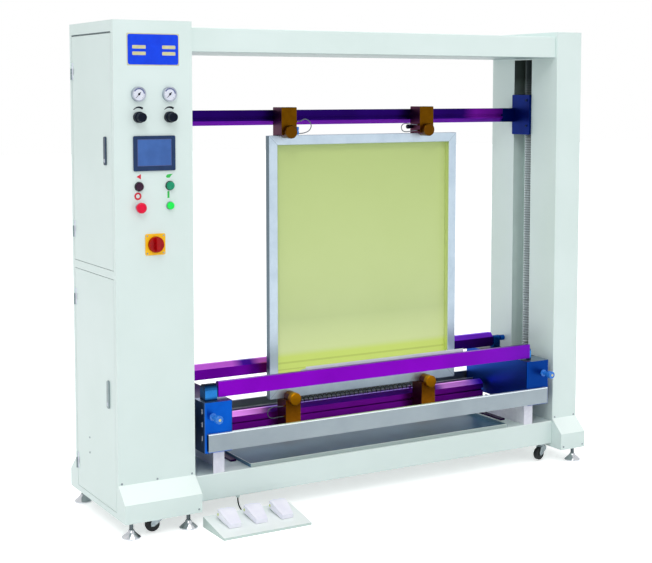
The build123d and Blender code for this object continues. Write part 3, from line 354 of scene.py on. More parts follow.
# the mesh is darker towards the top; painted light lifts its lower part and brightens the emulsion's
# band
tintRegion(printingMesh, "#BACD80", fades=[("Z", meshLow + 0.25, meshHigh)])
tintRegion(printingMesh, "#EAF8B2", fades=[("Z", meshLow + 0.3, meshLow + 0.17)])
tintRegion(printingMesh, "#E6FA80", fades=[("Z", meshLow + 0.165, meshLow + 0.14)])
for low, high in ((0.112, 0.12), (0.085, 0.09)):  # two darker lines where the coating ends
    tintRegion(printingMesh, "#D6EA70", {"Z": (meshLow + low, meshLow + high)})

# cast polyurethane belt: teeth at 8 mm pitch, painted shade between them
beltPolyurethane = mouldedPlastic("castPolyurethaneBelt", {
    "colour": "#E9F3F5", "shade": "#DEE9EC", "cloudMm": 30, "rough": (0.45, 0.6),
    "bumpMm": 0.03})
beltTree = beltPolyurethane.node_tree
beltPitch = 8  # mm
teethPassed = addNode(beltTree, "ShaderNodeMath", {"operation": "MULTIPLY"},
                      {1: 1000 / beltPitch}, {0: axesOf(beltTree)["Z"]}).outputs[0]
toothShare = addNode(beltTree, "ShaderNodeMath", {"operation": "FRACT"}, None,
                     {0: teethPassed}).outputs[0]
tintRegion(beltPolyurethane, "#6B797F", bands=[(toothShare, -0.1, 0.35)])
# painted shade towards the top
tintRegion(beltPolyurethane, "#434E50", fades=[paintedShadeFade])

# dark enamel on cast iron housings
darkEnamel = sprayedPaint("darkEnamelCasting", {
    "colour": "#3C4148", "shade": "#31353B", "cloudMm": 30, "grainMm": 1.2, "rough": (0.35, 0.5),
    "bumpMm": 0.04})
# grey ABS housings of the electrical units
greyAbs = mouldedPlastic("mouldedGreyAbs", {
    "colour": "#8E949B", "shade": "#7C828A", "cloudMm": 40, "rough": (0.45, 0.6), "bumpMm": 0.03})
# navy ABS bezel of the touch panel
bezelAbs = mouldedPlastic("mouldedNavyAbs", {
    "colour": "#16345F", "shade": "#122D55", "cloudMm": 40, "rough": (0.35, 0.5), "bumpMm": 0.02,
    "specular": 0.25})
# black nylon and ABS mouldings
blackNylon = mouldedPlastic("mouldedBlackNylon", {
    "colour": "#030A1A", "shade": "#081226", "cloudMm": 15, "rough": (0.3, 0.45), "bumpMm": 0.03,
    "specular": 0.1})
# die-cast zinc handles: the upper under dark enamel, the lower in grey
handleEnamel = sprayedPaint("darkEnamelHandle", {
    "colour": "#34465C", "shade": "#2A3B50", "cloudMm": 20, "grainMm": 1.0, "rough": (0.3, 0.45),
    "bumpMm": 0.03, "specular": 0.35})
greyEnamel = sprayedPaint("greyEnamelHandle", {
    "colour": "#8C9DA0", "shade": "#7F9093", "cloudMm": 20, "grainMm": 1.0, "rough": (0.3, 0.45),
    "bumpMm": 0.03})
# EPDM seal and black-oxide bolts
greySeal = mouldedPlastic("extrudedEpdmSeal", {
    "colour": "#52646A", "shade": "#48595F", "cloudMm": 20, "rough": (0.5, 0.65), "bumpMm": 0.02,
    "specular": 0.3})
blackOxide = brushedMetal("blackOxideSteel", {
    "colour": "#2A3A5C", "shade": "#22314F", "cloudMm": 8, "rough": (0.35, 0.5)})
# vulcanised rubber tyres and cable jackets
blackRubber = mouldedPlastic("vulcanisedRubber", {
    "colour": "#0C0E12", "shade": "#15181D", "cloudMm": 12, "grainMm": 0.7, "rough": (0.5, 0.68),
    "bumpMm": 0.03, "specular": 0.3})
# lavender-white ABS treadles, sparked tool texture
treadleAbs = mouldedPlastic("mouldedTreadleAbs", {
    "colour": "#F1F1FB", "shade": "#EAEAF7", "cloudMm": 60, "grainMm": 0.9, "rough": (0.35, 0.5),
    "bumpMm": 0.03})
# blue acetal knobs
blueAcetal = mouldedPlastic("turnedBlueAcetal", {
    "colour": "#2F80DE", "shade": "#226BC6", "cloudMm": 9, "rough": (0.2, 0.32), "bumpMm": 0.02,
    "specular": 0.4})
# polyurethane air hose
greyHose = mouldedPlastic("extrudedGreyHose", {
    "colour": "#5E666E", "shade": "#4C545C", "cloudMm": 15, "grainMm": 1.0, "rough": (0.25, 0.35)})
# polyurethane hose wound hot into a spiral
coilHose = mouldedPlastic("woundSpiralHose", {
    "colour": "#1A2320", "shade": "#2A3531", "cloudMm": 8, "grainMm": 1.0, "rough": (0.2, 0.32)})
# glossy ABS of the push buttons and the switch
buttonGloss = {"cloudMm": 10, "rough": (0.22, 0.32), "specular": 0.25}
maroonAbs = mouldedPlastic("mouldedMaroonAbs", {
    "colour": "#33062C", "shade": "#2A0524", **buttonGloss})
tealAbs = mouldedPlastic("mouldedTealAbs", {
    "colour": "#12946C", "shade": "#0E8660", **buttonGloss})
signalRedAbs = mouldedPlastic("mouldedSignalRedAbs", {
    "colour": "#E4003A", "shade": "#DA0036", "cloudMm": 15, "rough": (0.25, 0.35),
    "specular": 0.2})
brightGreenAbs = mouldedPlastic("mouldedBrightGreenAbs", {
    "colour": "#10F256", "shade": "#0CE84E", "cloudMm": 10, "rough": (0.25, 0.35),
    "specular": 0.25})
switchRedAbs = mouldedPlastic("mouldedSwitchRedAbs", {
    "colour": "#A80008", "shade": "#9A0006", "cloudMm": 12, "rough": (0.2, 0.3), "specular": 0.2})
switchYellowAbs = mouldedPlastic("mouldedYellowAbs", {
    "colour": "#FCC400", "shade": "#F6BC00", "cloudMm": 20, "specular": 0.3})
# screen-printed enamel on thin anodised plate
blueEnamelPlate = sprayedPaint("printedBlueEnamel", {
    "colour": "#0644E8", "shade": "#043CDE", "cloudMm": 40, "grainMm": 0.9,
    "rough": (0.25, 0.35), "specular": 0.2})
goldEnamelPlate = sprayedPaint("paleGoldEnamel", {
    "colour": "#D0CDA0", "shade": "#C6C290", "cloudMm": 30, "grainMm": 0.9})
whiteDial = sprayedPaint("printedDialWhite", {
    "colour": "#E4E8F4", "shade": "#DADFEE", "cloudMm": 14, "grainMm": 0.7, "rough": (0.2, 0.3),
    "bumpMm": 0.005})
# glass over the liquid crystal display, switched on and empty
displayGlass = mouldedPlastic("litDisplayGlass", {
    "colour": "#3A66AE", "shade": "#335DA2", "cloudMm": 60, "rough": (0.1, 0.16),
    "bumpMm": 0.002, "specular": 0.3})
# printed inks, dull on the panel's paint
inkSurface = {"cloudMm": 8, "grainMm": 0.7, "rough": (0.35, 0.45), "bumpMm": 0.005}
# the slate ink also paints the shadow of the gauges' rims
slateInkAndRimShadow = sprayedPaint("rimShadowAndSlateInk", {
    "colour": "#5C68A0", "shade": "#525E94", "specular": 0.3, **inkSurface})
redPrint = sprayedPaint("printedRedMark", {
    "colour": "#D61436", "shade": "#C41030", **inkSurface})
greenPrint = sprayedPaint("printedGreenMark", {
    "colour": "#27C24E", "shade": "#20B246", **inkSurface})
# soft PVC of the treadles' clips
yellowGreenPvc = mouldedPlastic("mouldedYellowGreenPvc", {
    "colour": "#D5E47E", "shade": "#C8D96E", "cloudMm": 8, "grainMm": 0.7, "rough": (0.35, 0.45)})

# each material, the edge rounding in mm that its pieces get, and the carried-over pieces
nodeFinish = [
    (powderCoat, 1.5, "left_cabinet", "right_column", "cross_beam"),
    (powderCoat, 2.5, "base_deck"), (powderCoat, 0.8, "upper_door", "lower_door"),
    (bracketEnamel, 0, "rest_brackets"), (boardEnamel, 1.0, "pedal_board"),
    (panEnamel, 0, "drip_pan"), (violetAnodised, 0.8, "lower_beam"),
    (indigoAnodised, 0.8, "upper_beam"), (frameAluminium, 0.6, "screen_frame"),
    (printingMesh, 0, "screen_mesh"), (guidePaint, 0, "guide_assemblies"),
    (beltPolyurethane, 0, "lift_belts"), (darkEnamel, 0, "gear_motor"),
    (greyAbs, 0, "electrical_panel"), (satinStainless, 0, "gauge_cases"),
    (bezelAbs, 0, "touch_panel"), (chromePlate, 0, "levelling_feet"),
    (zincPlate, 0, "rear_caster_forks", "caster_fork_left", "caster_fork_right"),
    (blackRubber, 0, "caster_wheel_left", "caster_wheel_right", "rear_wheel_left",
     "rear_wheel_right"),
    (groundSteel, 0, "drive_shaft"), (navyAnodised, 0.8, "upper_carriages"),
    (upperGoldInShade, 0.8, "clamp_upper_left", "clamp_upper_right"),
    (lowerGold, 0.8, "clamp_lower_left", "clamp_lower_right"),
    (cheekAnodised, 1.0, "end_cheeks"), (sheetAluminium, 0, "drip_channels"),
    (actuatorAnodised, 0.8, "front_pivots"), (rearActuatorAnodised, 0, "rear_pivots"),
    (purpleAnodised, 0.8, "front_bar"), (rearAnodised, 0.8, "rear_bar"),
    (troughCoat, 0, "front_trough", "rear_trough"), (blueAcetal, 0, "knob_left", "knob_right"),
    (blackNylon, 0, "regulator_left", "regulator_right"), (maroonAbs, 0, "up_button"),
    (tealAbs, 0, "down_button"), (signalRedAbs, 0, "stop_button"),
    (brightGreenAbs, 0, "start_button"), (switchRedAbs, 0, "main_switch"),
    (handleEnamel, 0, "upper_handle"), (greyEnamel, 0, "lower_handle"),
    (treadleAbs, 2.0, "pedal_1", "pedal_2", "pedal_3")]
weldGap = 0.02  # corners of the CAD mesh nearer than this are joined, mm
creaseAngle = math.radians(35)


def roundEdges(piece, width):
    # breaks the piece's edges and shades its flat faces flat
    bevel = piece.modifiers.new("edgeBreak", "BEVEL")
    bevel.width = width
    bevel.segments = 2
    bevel.limit_method = "ANGLE"
    bevel.angle_limit = creaseAngle
    piece.modifiers.new("faceNormals", "WEIGHTED_NORMAL")


for material, edge, *nodeNames in nodeFinish:
    for nodeName in nodeNames:
        node = nodes[nodeName]
        node.data.materials.clear()
        node.data.materials.append(material)
        for polygon in node.data.polygons:
            polygon.use_smooth = True
        weld = node.modifiers.new("weld", "WELD")
        weld.merge_threshold = weldGap * mm
        if edge:
            roundEdges(node, edge * mm)
        else:
            split = node.modifiers.new("hardEdges", "EDGE_SPLIT")
            split.split_angle = creaseAngle
print("finishes on the carried-over pieces")


# Camera
cameraLook = {"place": (-2.922, -4.815, 1.682), "turn": -0.5245, "tilt": -0.0832,
              "lens": 73.65, "shift": (0.0025, -0.1196)}
cameraData = bpy.data.cameras.new("camera")
camera = bpy.data.objects.new("camera", cameraData)
linkToScene(camera)
camera.location = cameraLook["place"]
camera.rotation_euler = (math.pi / 2 + cameraLook["tilt"], 0, cameraLook["turn"])
cameraData.lens = cameraLook["lens"]
cameraData.shift_x, cameraData.shift_y = cameraLook["shift"]
bpy.context.scene.camera = camera


# Cords
def cordPiece(name, route, diameter, material, body, replaced, slotName, **facts):
    # a smooth spline through the route's control points, in metres
    data = bpy.data.curves.new(name, "CURVE")
    data.dimensions = "3D"
    spline = data.splines.new("NURBS")
    spline.points.add(len(route) - 1)
    for point, place in zip(spline.points, route):
        point.co = (*place, 1)
    spline.order_u = 3
    spline.use_endpoint_u = True
    data.bevel_depth = diameter / 2
    piece = bpy.data.objects.new(name, data)
    linkToScene(piece)
    data.materials.append(material)
    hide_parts(replaced)
    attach(piece, body)


pedalCableLook = {"diameter": 0.006, "length": 0.0968, "gland": (-0.610, -0.128),
                  "boardEnd": -0.195, "endHeight": 0.024}
glandX, glandY = pedalCableLook["gland"]
endHeight = pedalCableLook["endHeight"]
boardEnd = pedalCableLook["boardEnd"]
cordPiece("pedalCable", [
    (glandX, glandY, 0.070), (glandX, glandY, 0.0547), (glandX + 0.0005, glandY - 0.0059, 0.0406),
    (glandX + 0.0015, glandY - 0.0167, 0.0298), (glandX + 0.0025, glandY - 0.0308, endHeight),
    (glandX, boardEnd + 0.017, endHeight), (glandX, boardEnd, endHeight)],
    pedalCableLook["diameter"], blackRubber, "frame", "pedal_cable", "cable_black",
    length=pedalCableLook["length"], lay="hanging")

clampHoses = {  # each loop's points are (out from the clamp, height), mm
    "hoseUpperLeft": {
        "node": "hose_upper_left", "body": "upper_left_clamp", "side": 1, "start": -224,
        "length": 0.1666,
        "points": [(0, 1560), (17, 1560), (38, 1573), (60, 1561), (69, 1540), (58, 1521),
                   (37, 1512), (17, 1510), (0, 1510)]},
    "hoseUpperRight": {
        "node": "hose_upper_right", "body": "upper_right_clamp", "side": -1, "start": 383,
        "length": 0.1947,
        "points": [(0, 1540), (20, 1540), (42, 1544), (66, 1546), (80, 1543), (88, 1533),
                   (86, 1520), (77, 1512), (62, 1509), (40, 1511), (20, 1514), (0, 1514)]},
    "hoseLowerLeft": {
        "node": "hose_lower_left", "body": "lower_left_clamp", "side": -1, "start": -291,
        "length": 0.1816,
        "points": [(0, 358), (22, 358), (46, 362), (66, 357), (78, 345), (78, 330), (68, 318),
                   (50, 312), (24, 314), (0, 314)]},
}
hoseLook = {"diameter": 0.004, "portY": 80, "bow": 6}  # a loop bows 6 mm to the front
for name, look in clampHoses.items():
    last = len(look["points"]) - 1
    route = []
    for index, (out, height) in enumerate(look["points"]):
        bow = 0
        if 0 < index < last:
            bow = hoseLook["bow"] * math.sin(math.pi * (index - 1) / (last - 2))
        route.append(((look["start"] + look["side"] * out) * mm, (hoseLook["portY"] - bow) * mm,
                      height * mm))
    cordPiece(name, route, hoseLook["diameter"], greyHose, look["body"], look["node"],
              "hose_grey", length=look["length"], lay="loose")

coilLook = {"left": -163, "right": 415, "y": 169, "z": 354.5, "radius": 10.8, "endRadius": 10,
            "wire": 4.5, "turns": 25, "perTurn": 12, "lead": (-1.55, -4.22), "length": 1.747}
coilSteps = coilLook["turns"] * coilLook["perTurn"]
leadX, leadY = coilLook["lead"]
coilEndZ = (coilLook["z"] - coilLook["endRadius"]) * mm
coilRoute = [((coilLook["left"] + leadX) * mm, (coilLook["y"] + leadY) * mm, coilEndZ)]
for step in range(coilSteps + 1):
    angle = math.tau * step / coilLook["perTurn"]
    along = coilLook["left"] + (coilLook["right"] - coilLook["left"]) * step / coilSteps
    swing = coilLook["endRadius"] if step in (0, coilSteps) else coilLook["radius"]
    coilRoute.append((along * mm, (coilLook["y"] + swing * math.sin(angle)) * mm,
                      (coilLook["z"] - swing * math.cos(angle)) * mm))
coilRoute.append(((coilLook["right"] - leadX) * mm, (coilLook["y"] - leadY) * mm, coilEndZ))
cordPiece("coiledHose", coilRoute, coilLook["wire"] * mm, coilHose, "frame", "coiled_hose",
          "coil_dark", length=coilLook["length"], lay="coiled")
print("cords laid")


# Helpers for the added pieces
def finishForm(name, form):
    # turns all faces outwards and makes the mesh
    bmesh.ops.recalc_face_normals(form, faces=form.faces)
    mesh = bpy.data.meshes.new(name)
    form.to_mesh(mesh)
    form.free()
    return mesh


def turnedForm(name, profile, seats, direction=(0, -1, 0), segments=32):
    # turns (radius, height) pairs in mm about a direction, once at each seat
    turn = Vector(direction).to_track_quat("Z", "Y").to_matrix()
    form = bmesh.new()
    for seat in seats:
        rings = []
        for radius, height in profile:
            count = segments if radius > 0 else 1
            rings.append([form.verts.new((Vector(seat) + turn @ Vector((
                radius * math.cos(math.tau * step / segments),
                radius * math.sin(math.tau * step / segments), height))) * mm)
                for step in range(count)])
        for lower, upper in zip(rings, rings[1:]):
            for step in range(segments):
                corners = [lower[step % len(lower)], lower[(step + 1) % len(lower)],
                           upper[(step + 1) % len(upper)], upper[step % len(upper)]]
                form.faces.new(list(dict.fromkeys(corners)))
    return finishForm(name, form)


def plateForm(name, outlines, seat, thickness, across=(1, 0, 0)):
    # raises flat (u, v) outlines in mm from a seat, with u along across and v upwards
    across, up = Vector(across), Vector((0, 0, 1))
    out = across.cross(up)
    form = bmesh.new()
    for outline in outlines:
        feet = [(Vector(seat) + across * u + up * v) * mm for u, v in outline]
        low = [form.verts.new(foot) for foot in feet]
        high = [form.verts.new(foot + out * thickness * mm) for foot in feet]
        form.faces.new(high)
        form.faces.new(low[::-1])
        for index in range(len(low)):
            following = (index + 1) % len(low)
            form.faces.new((low[index], low[following], high[following], high[index]))
    return finishForm(name, form)


def addPiece(mesh, material, body, edge):
    # one more visible piece on a body, its edges broken by a fraction of a millimetre
    piece = bpy.data.objects.new(mesh.name, mesh)
    linkToScene(piece)
    mesh.materials.append(material)
    for polygon in mesh.polygons:
        polygon.use_smooth = True
    roundEdges(piece, edge * mm)
    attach(piece, body)


def roundedBox(width, height, radius, centre=(0, 0), steps=5):
    # outline of a rectangle with round corners
    points = []
    for corner, (signU, signV) in enumerate(((1, 1), (-1, 1), (-1, -1), (1, -1))):
        for step in range(steps + 1):
            angle = math.pi / 2 * (corner + step / steps)
            points.append((centre[0] + signU * (width / 2 - radius) + radius * math.cos(angle),
                           centre[1] + signV * (height / 2 - radius) + radius * math.sin(angle)))
    return points


def arcBand(shift, look, steps=14):
    # outline of part of a ring that may thin towards its end, angles in degrees
    turns = [step / steps for step in range(steps + 1)]
    outer = [(look["outer"] - look["thinning"] * part ** 1.5, part) for part in turns]
    inner = [(look["inner"], part) for part in turns[::-1]]
    swept = [(radius, math.radians(look["start"] + (look["end"] - look["start"]) * part))
             for radius, part in outer + inner]
    return [(shift + radius * math.cos(angle), radius * math.sin(angle))
            for radius, angle in swept]


def barOutline(shift, angle, near, far):
    # outline of a bar on a dial: each end is its distance from the middle and its half width
    corners = [(near[0], -near[1]), (far[0], -far[1]), far, near]
    return [(shift + reach * math.cos(angle) - half * math.sin(angle),
             reach * math.sin(angle) + half * math.cos(angle)) for reach, half in corners]


# Panel of the control cabinet
panelLook = {
    "leftColumn": -1024, "rightColumn": -899, "middle": -961.5, "face": -146,
    "gaugeZ": 1675, "regulatorZ": 1589, "displayZ": 1456, "buttonZ": 1329, "stopZ": 1250,
    "startZ": 1253, "switchZ": 1108}
panelY = panelLook["face"]
columns = leftX, rightX = panelLook["leftColumn"], panelLook["rightColumn"]
middleX = panelLook["middle"]
columnShifts = [x - middleX for x in columns]


def panelPlate(name, outlines, z, rise, thickness, material, edge,
               x=middleX):
    # a flat piece that starts a small rise over the panel's face
    addPiece(plateForm(name, outlines, (x, panelY - rise, z), thickness), material, "frame",
             edge)


plateLook = {"size": (211, 120), "z": 1841.6, "border": 3.5, "fieldSize": (54, 13),
             "fields": [(-57, 9), (-57, -15), (63, 9), (63, -15)], "rivets": (101, 55)}
enamelSize = [side - 2 * plateLook["border"] for side in plateLook["size"]]
rivetU, rivetV = plateLook["rivets"]
panelPlate("nameplateRim", [roundedBox(*plateLook["size"], 3)], plateLook["z"], 0, 0.6,
           goldEnamelPlate, 0.15)
panelPlate("nameplate", [roundedBox(*enamelSize, 9)], plateLook["z"], 0.6, 0.5,
           blueEnamelPlate, 0.15)
panelPlate("nameplateFields", [roundedBox(*plateLook["fieldSize"], 3, centre)
                               for centre in plateLook["fields"]],
           plateLook["z"], 1.1, 0.4, goldEnamelPlate, 0.1)
addPiece(turnedForm("nameplateRivets", [(2.6, 0), (2.4, 0.8), (1.4, 1.5), (0, 1.7)],
                    [(middleX + u, panelY - 0.6, plateLook["z"] + v)
                     for u in (-rivetU, rivetU) for v in (-rivetV, rivetV)], segments=16),
         satinStainless, "frame", 0.1)

# Gauges: dial with its ticks, needle on a hub, and a painted shadow of the rim over the dial's upper
# part
gaugeLook = {
    "dialY": -157, "dialRadius": 23.4, "tickRadius": 21, "ticks": 11, "firstTick": 225,
    "tickStep": 27, "longTick": (4, 0.45), "shortTick": (2.6, 0.3), "longEvery": 5,
    "needleAngle": 48, "needleEnds": ((18, 1.1), (-10, 2.2)), "needleTaper": 0.4,
    "rimShadow": {"inner": 18.6, "outer": 22.8, "start": 5, "end": 150, "thinning": 0}}
dialY, dialRadius, gaugeZ = gaugeLook["dialY"], gaugeLook["dialRadius"], panelLook["gaugeZ"]
addPiece(turnedForm("gaugeDials", [(dialRadius, -0.3), (dialRadius, 0.4), (0, 0.4)],
                    [(x, dialY, gaugeZ) for x in columns], segments=48),
         whiteDial, "frame", 0.1)
tickRadius = gaugeLook["tickRadius"]
needleAngle = math.radians(gaugeLook["needleAngle"])
tickOutlines = []
needleOutlines = []
for shift in columnShifts:
    for tick in range(gaugeLook["ticks"]):
        kind = "shortTick" if tick % gaugeLook["longEvery"] else "longTick"
        length, half = gaugeLook[kind]
        angle = math.radians(gaugeLook["firstTick"] - gaugeLook["tickStep"] * tick)
        tickOutlines.append(barOutline(shift, angle, (tickRadius - length, half),
                                       (tickRadius, half)))
    for reach, half in gaugeLook["needleEnds"]:
        needleOutlines.append(barOutline(shift, needleAngle, (0, half),
                                         (-reach, half * gaugeLook["needleTaper"])))
faceRise = panelY - dialY + 0.4
panelPlate("gaugeTicks", tickOutlines, gaugeZ, faceRise, 0.15, blackNylon, 0.02)
panelPlate("gaugeNeedles", needleOutlines, gaugeZ, faceRise + 0.8, 0.5, blackNylon, 0.05)
addPiece(turnedForm("gaugeHubs", [(4.2, 0), (4.2, 1.6), (3.2, 2.2), (0, 2.2)],
                    [(x, dialY - 0.4, gaugeZ) for x in columns], segments=24),
         blackNylon, "frame", 0.1)
# painted shadow of each gauge's rim
panelPlate("gaugeRimShadows", [arcBand(shift, gaugeLook["rimShadow"]) for shift in columnShifts],
           gaugeZ, faceRise, 0.1, slateInkAndRimShadow, 0.02)

# Regulators: the arc of their turning mark above the knobs
arcLook = {"inner": 26, "outer": 34, "start": 52, "end": 134, "thinning": 6.0, "lift": 8}
panelPlate("regulatorArcs", [arcBand(shift, arcLook) for shift in columnShifts],
           panelLook["regulatorZ"] + arcLook["lift"], 0, 0.25, blackNylon, 0.05)

# Touch panel: its display behind glass, with a slate inner edge
displayLook = {"edge": (138, 101, 2), "glass": (134, 97, 1.5), "rise": 4.4, "layer": 0.4}
panelPlate("displayEdge", [roundedBox(*displayLook["edge"])], panelLook["displayZ"],
           displayLook["rise"], displayLook["layer"], slateInkAndRimShadow, 0.1)
panelPlate("displayGlass", [roundedBox(*displayLook["glass"])], panelLook["displayZ"],
           displayLook["rise"] + displayLook["layer"], displayLook["layer"], displayGlass, 0.1)

# Buttons: bezel rings, and a printed mark above each
bezelProfile = [(16.4, 0), (18.2, 0), (18.2, 2.6), (17.6, 4), (16.8, 4), (16.4, 3.2), (16.4, 0)]
startInset = 2  # the start button's ring is smaller by this radius
addPiece(turnedForm("buttonBezels", bezelProfile,
                    [(x, panelY, panelLook["buttonZ"]) for x in columns], segments=40),
         blackNylon, "frame", 0.1)
addPiece(turnedForm("startBezel", [(radius - startInset, out) for radius, out in bezelProfile],
                    [(rightX, panelY, panelLook["startZ"])], segments=40),
         satinStainless, "frame", 0.1)
addPiece(turnedForm("stopCollar", [(12, 0), (17, 0), (17, 1.6), (15.5, 3), (12, 3), (12, 0)],
                    [(leftX, panelY, panelLook["stopZ"])], segments=40),
         satinStainless, "frame", 0.1)
markLook = {"arrowZ": 1366, "barX": -905, "barZ": 1295, "ringX": -1029, "ringZ": 1293,
            "thickness": 0.25}
panelPlate("upMark", [[(-10, 0), (8, 10), (8, -10)]], markLook["arrowZ"], 0,
           markLook["thickness"], redPrint, 0.05, leftX)
panelPlate("downMark", [[(-16, -1), (-9, 6), (13, 7.5), (5, 1), (0, -7), (-12, -7)]],
           markLook["arrowZ"], 0, markLook["thickness"], greenPrint, 0.05, rightX)
panelPlate("startMark", [roundedBox(8.5, 26, 1)], markLook["barZ"], 0, markLook["thickness"],
           greenPrint, 0.05, markLook["barX"])
addPiece(turnedForm("stopMark", [(7.5, 0), (14.5, 0), (14.5, 0.25), (7.5, 0.25), (7.5, 0)],
                    [(markLook["ringX"], panelY, markLook["ringZ"])], segments=40),
         redPrint, "frame", 0.05)

# Main switch: yellow plate and its four screws
switchLook = {"plate": (81, 81, 6), "thickness": 4.5, "screwReach": 33, "screwRise": 4.4}
reach = switchLook["screwReach"]
panelPlate("switchPlate", [roundedBox(*switchLook["plate"])], panelLook["switchZ"], 0,
           switchLook["thickness"], switchYellowAbs, 0.8)
addPiece(turnedForm("switchScrews", [(3.4, 0), (3.2, 0.8), (2, 1.3), (0, 1.4)],
                    [(middleX + u, panelY - switchLook["screwRise"], panelLook["switchZ"] + v)
                     for u in (-reach, reach) for v in (-reach, reach)], segments=16),
         zincPlate, "frame", 0.1)
print("panel fitted")

# Screws: half-round heads with a hexagon socket
headProfile = [(4.2, 0), (4.1, 1), (3.4, 2), (2, 2.5), (1.8, 2.2), (1.6, 1.2), (0, 1.2)]


def addScrews(name, seats, direction=(0, -1, 0), body="frame"):
    # zinc-plated button heads on one body
    addPiece(turnedForm(name, headProfile, seats, direction, 16), zincPlate, body,
             0.1)


plinthLook = {"front": -146, "slope": -211, "back": 326, "upperZ": 201, "lowerZ": 76,
              "leftX": (-1107, -962, -817), "rightX": (997, 1107), "slopeX": (-817, 997, 1107)}
upperX = (*plinthLook["leftX"], *plinthLook["rightX"])
addScrews("plinthScrews",
          [(x, plinthLook["front"], plinthLook["upperZ"]) for x in upperX]
          + [(x, plinthLook["slope"], plinthLook["lowerZ"]) for x in plinthLook["slopeX"]])
addScrews("rearPlinthScrews", [(x, plinthLook["back"], plinthLook["upperZ"]) for x in upperX],
          (0, 1, 0))
addScrews("doorStopScrews", [(-1121, 159, 315), (-1121, 159, 254)], (-1, 0, 0), "lower_door")

# Door hinges: sleeves on the lower and middle knuckles, leaves, and the upper door's seal
sleeveProfile = [(3.4, 0), (3.75, 0.3), (3.75, 21.5), (3.4, 21.8), (3.4, 0)]
hingeLook = {
    "pin": (-1124.5, 302.5), "knuckles": {"upper_door": (1138, 1764), "lower_door": (192, 864)},
    "lowerDrop": 33.5, "middleDrop": 10.9, "leaf": (15, 67, 1), "leafAt": (-1122.5, 291, 0),
    "leafThickness": 0.5}
leftward = (0, -1, 0)  # makes a plate stand out to the left
for door, heights in hingeLook["knuckles"].items():
    addPiece(turnedForm(f"{door}Sleeves", sleeveProfile,
                        [(*hingeLook["pin"], z - hingeLook["lowerDrop"]) for z in heights],
                        (0, 0, 1), 20), greyEnamel, door, 0.1)
    addPiece(plateForm(f"{door}HingeLeaves",
                       [roundedBox(*hingeLook["leaf"], (0, z)) for z in heights],
                       hingeLook["leafAt"], hingeLook["leafThickness"], leftward),
             whiteDial, door, 0.1)
addPiece(turnedForm("hingeMiddleSleeves", sleeveProfile,
                    [(*hingeLook["pin"], z - hingeLook["middleDrop"])
                     for heights in hingeLook["knuckles"].values() for z in heights],
                    (0, 0, 1), 20), greyEnamel, "frame", 0.1)
addPiece(plateForm("upperDoorSeal", [roundedBox(422, 3.6, 1.2)], (-1121, 90, 1905), 0.8,
                   leftward), greySeal, "frame", 0.2)

# Lock cylinders in the door handles
lockProfile = [(7.5, 0), (7.5, 0.9), (6.6, 1.3), (2.4, 1.3), (2.2, 0.4), (0, 0.4)]
for name, handle, z in (("upperLock", "upper_handle", 1425), ("lowerLock", "lower_handle", 494)):
    addPiece(turnedForm(name, lockProfile, [(-1126.6, -59, z)], (-1, 0, 0), 28),
             satinStainless, handle, 0.1)

# Upper beam: two bolts in each blue plate, fittings on the upper clamps
boltProfile = [(5.5, 0), (5.5, 3.4), (4.9, 4), (2.8, 4), (2.6, 1.8), (0, 1.8)]
for name, x, outward in (("carriageBoltsRight", 970.5, -1), ("carriageBoltsLeft", -790.5, 1)):
    addPiece(turnedForm(name, boltProfile, [(x, 54, 1645), (x, 54, 1528)], (outward, 0, 0), 20),
             blackOxide, "upper_clamp_beam", 0.1)
fittingProfile = [(5.5, 0), (7.5, 0.6), (7.5, 8), (9.5, 9), (9.5, 20), (8, 22), (0, 22)]
elbowProfile = [(6, 0), (8, 1), (8, 14), (6.6, 15), (6.6, 20), (8, 21), (8, 32), (7, 33), (0, 33)]
addPiece(turnedForm("upperLeftElbow", elbowProfile, [(-222.5, 79, 1505)], (0, 0, 1)),
         blueAcetal, "upper_left_clamp", 0.2)
addPiece(turnedForm("upperRightFitting", fittingProfile, [(389, 138, 1530)], (-1, 0, 0)),
         blackNylon, "upper_right_clamp", 0.2)

# Carriage: three white plates on the outer side of the left cheek as painted glints of tapped holes,
# buttons on the knobs
addPiece(plateForm("cheekGlintPlates", [roundedBox(5, 20, 2.4, (0, lift)) for lift in (-55, 0, 52)],
                   (-768, -138, 386), 0.8, leftward), whiteDial, "coater", 0.1)
knobButtonProfile = [(5.6, 0), (5.6, 0.8), (4.6, 1.4), (0, 1.4)]
for name, body, x in (("knobLeftButton", "knob_left", -733), ("knobRightButton", "knob_right", 913)):
    addPiece(turnedForm(name, knobButtonProfile, [(x, -225.9, 418)], segments=24),
             goldEnamelPlate, body, 0.1)

# Service side: screwed cover over the right column's guides
coverLook = {"seat": (1121, 90, 1040), "size": (330, 1500, 8), "thickness": 1.2,
             "screwY": (-152, 152), "screwZ": (-735, -245, 245, 735)}
coverX, coverY, coverZ = coverLook["seat"]
addPiece(plateForm("serviceCover", [roundedBox(*coverLook["size"])], coverLook["seat"],
                   coverLook["thickness"], (0, 1, 0)), powderCoat, "frame", 0.4)
addScrews("serviceCoverScrews",
          [(coverX + coverLook["thickness"], coverY + shift, coverZ + lift)
           for shift in coverLook["screwY"] for lift in coverLook["screwZ"]], (1, 0, 0))

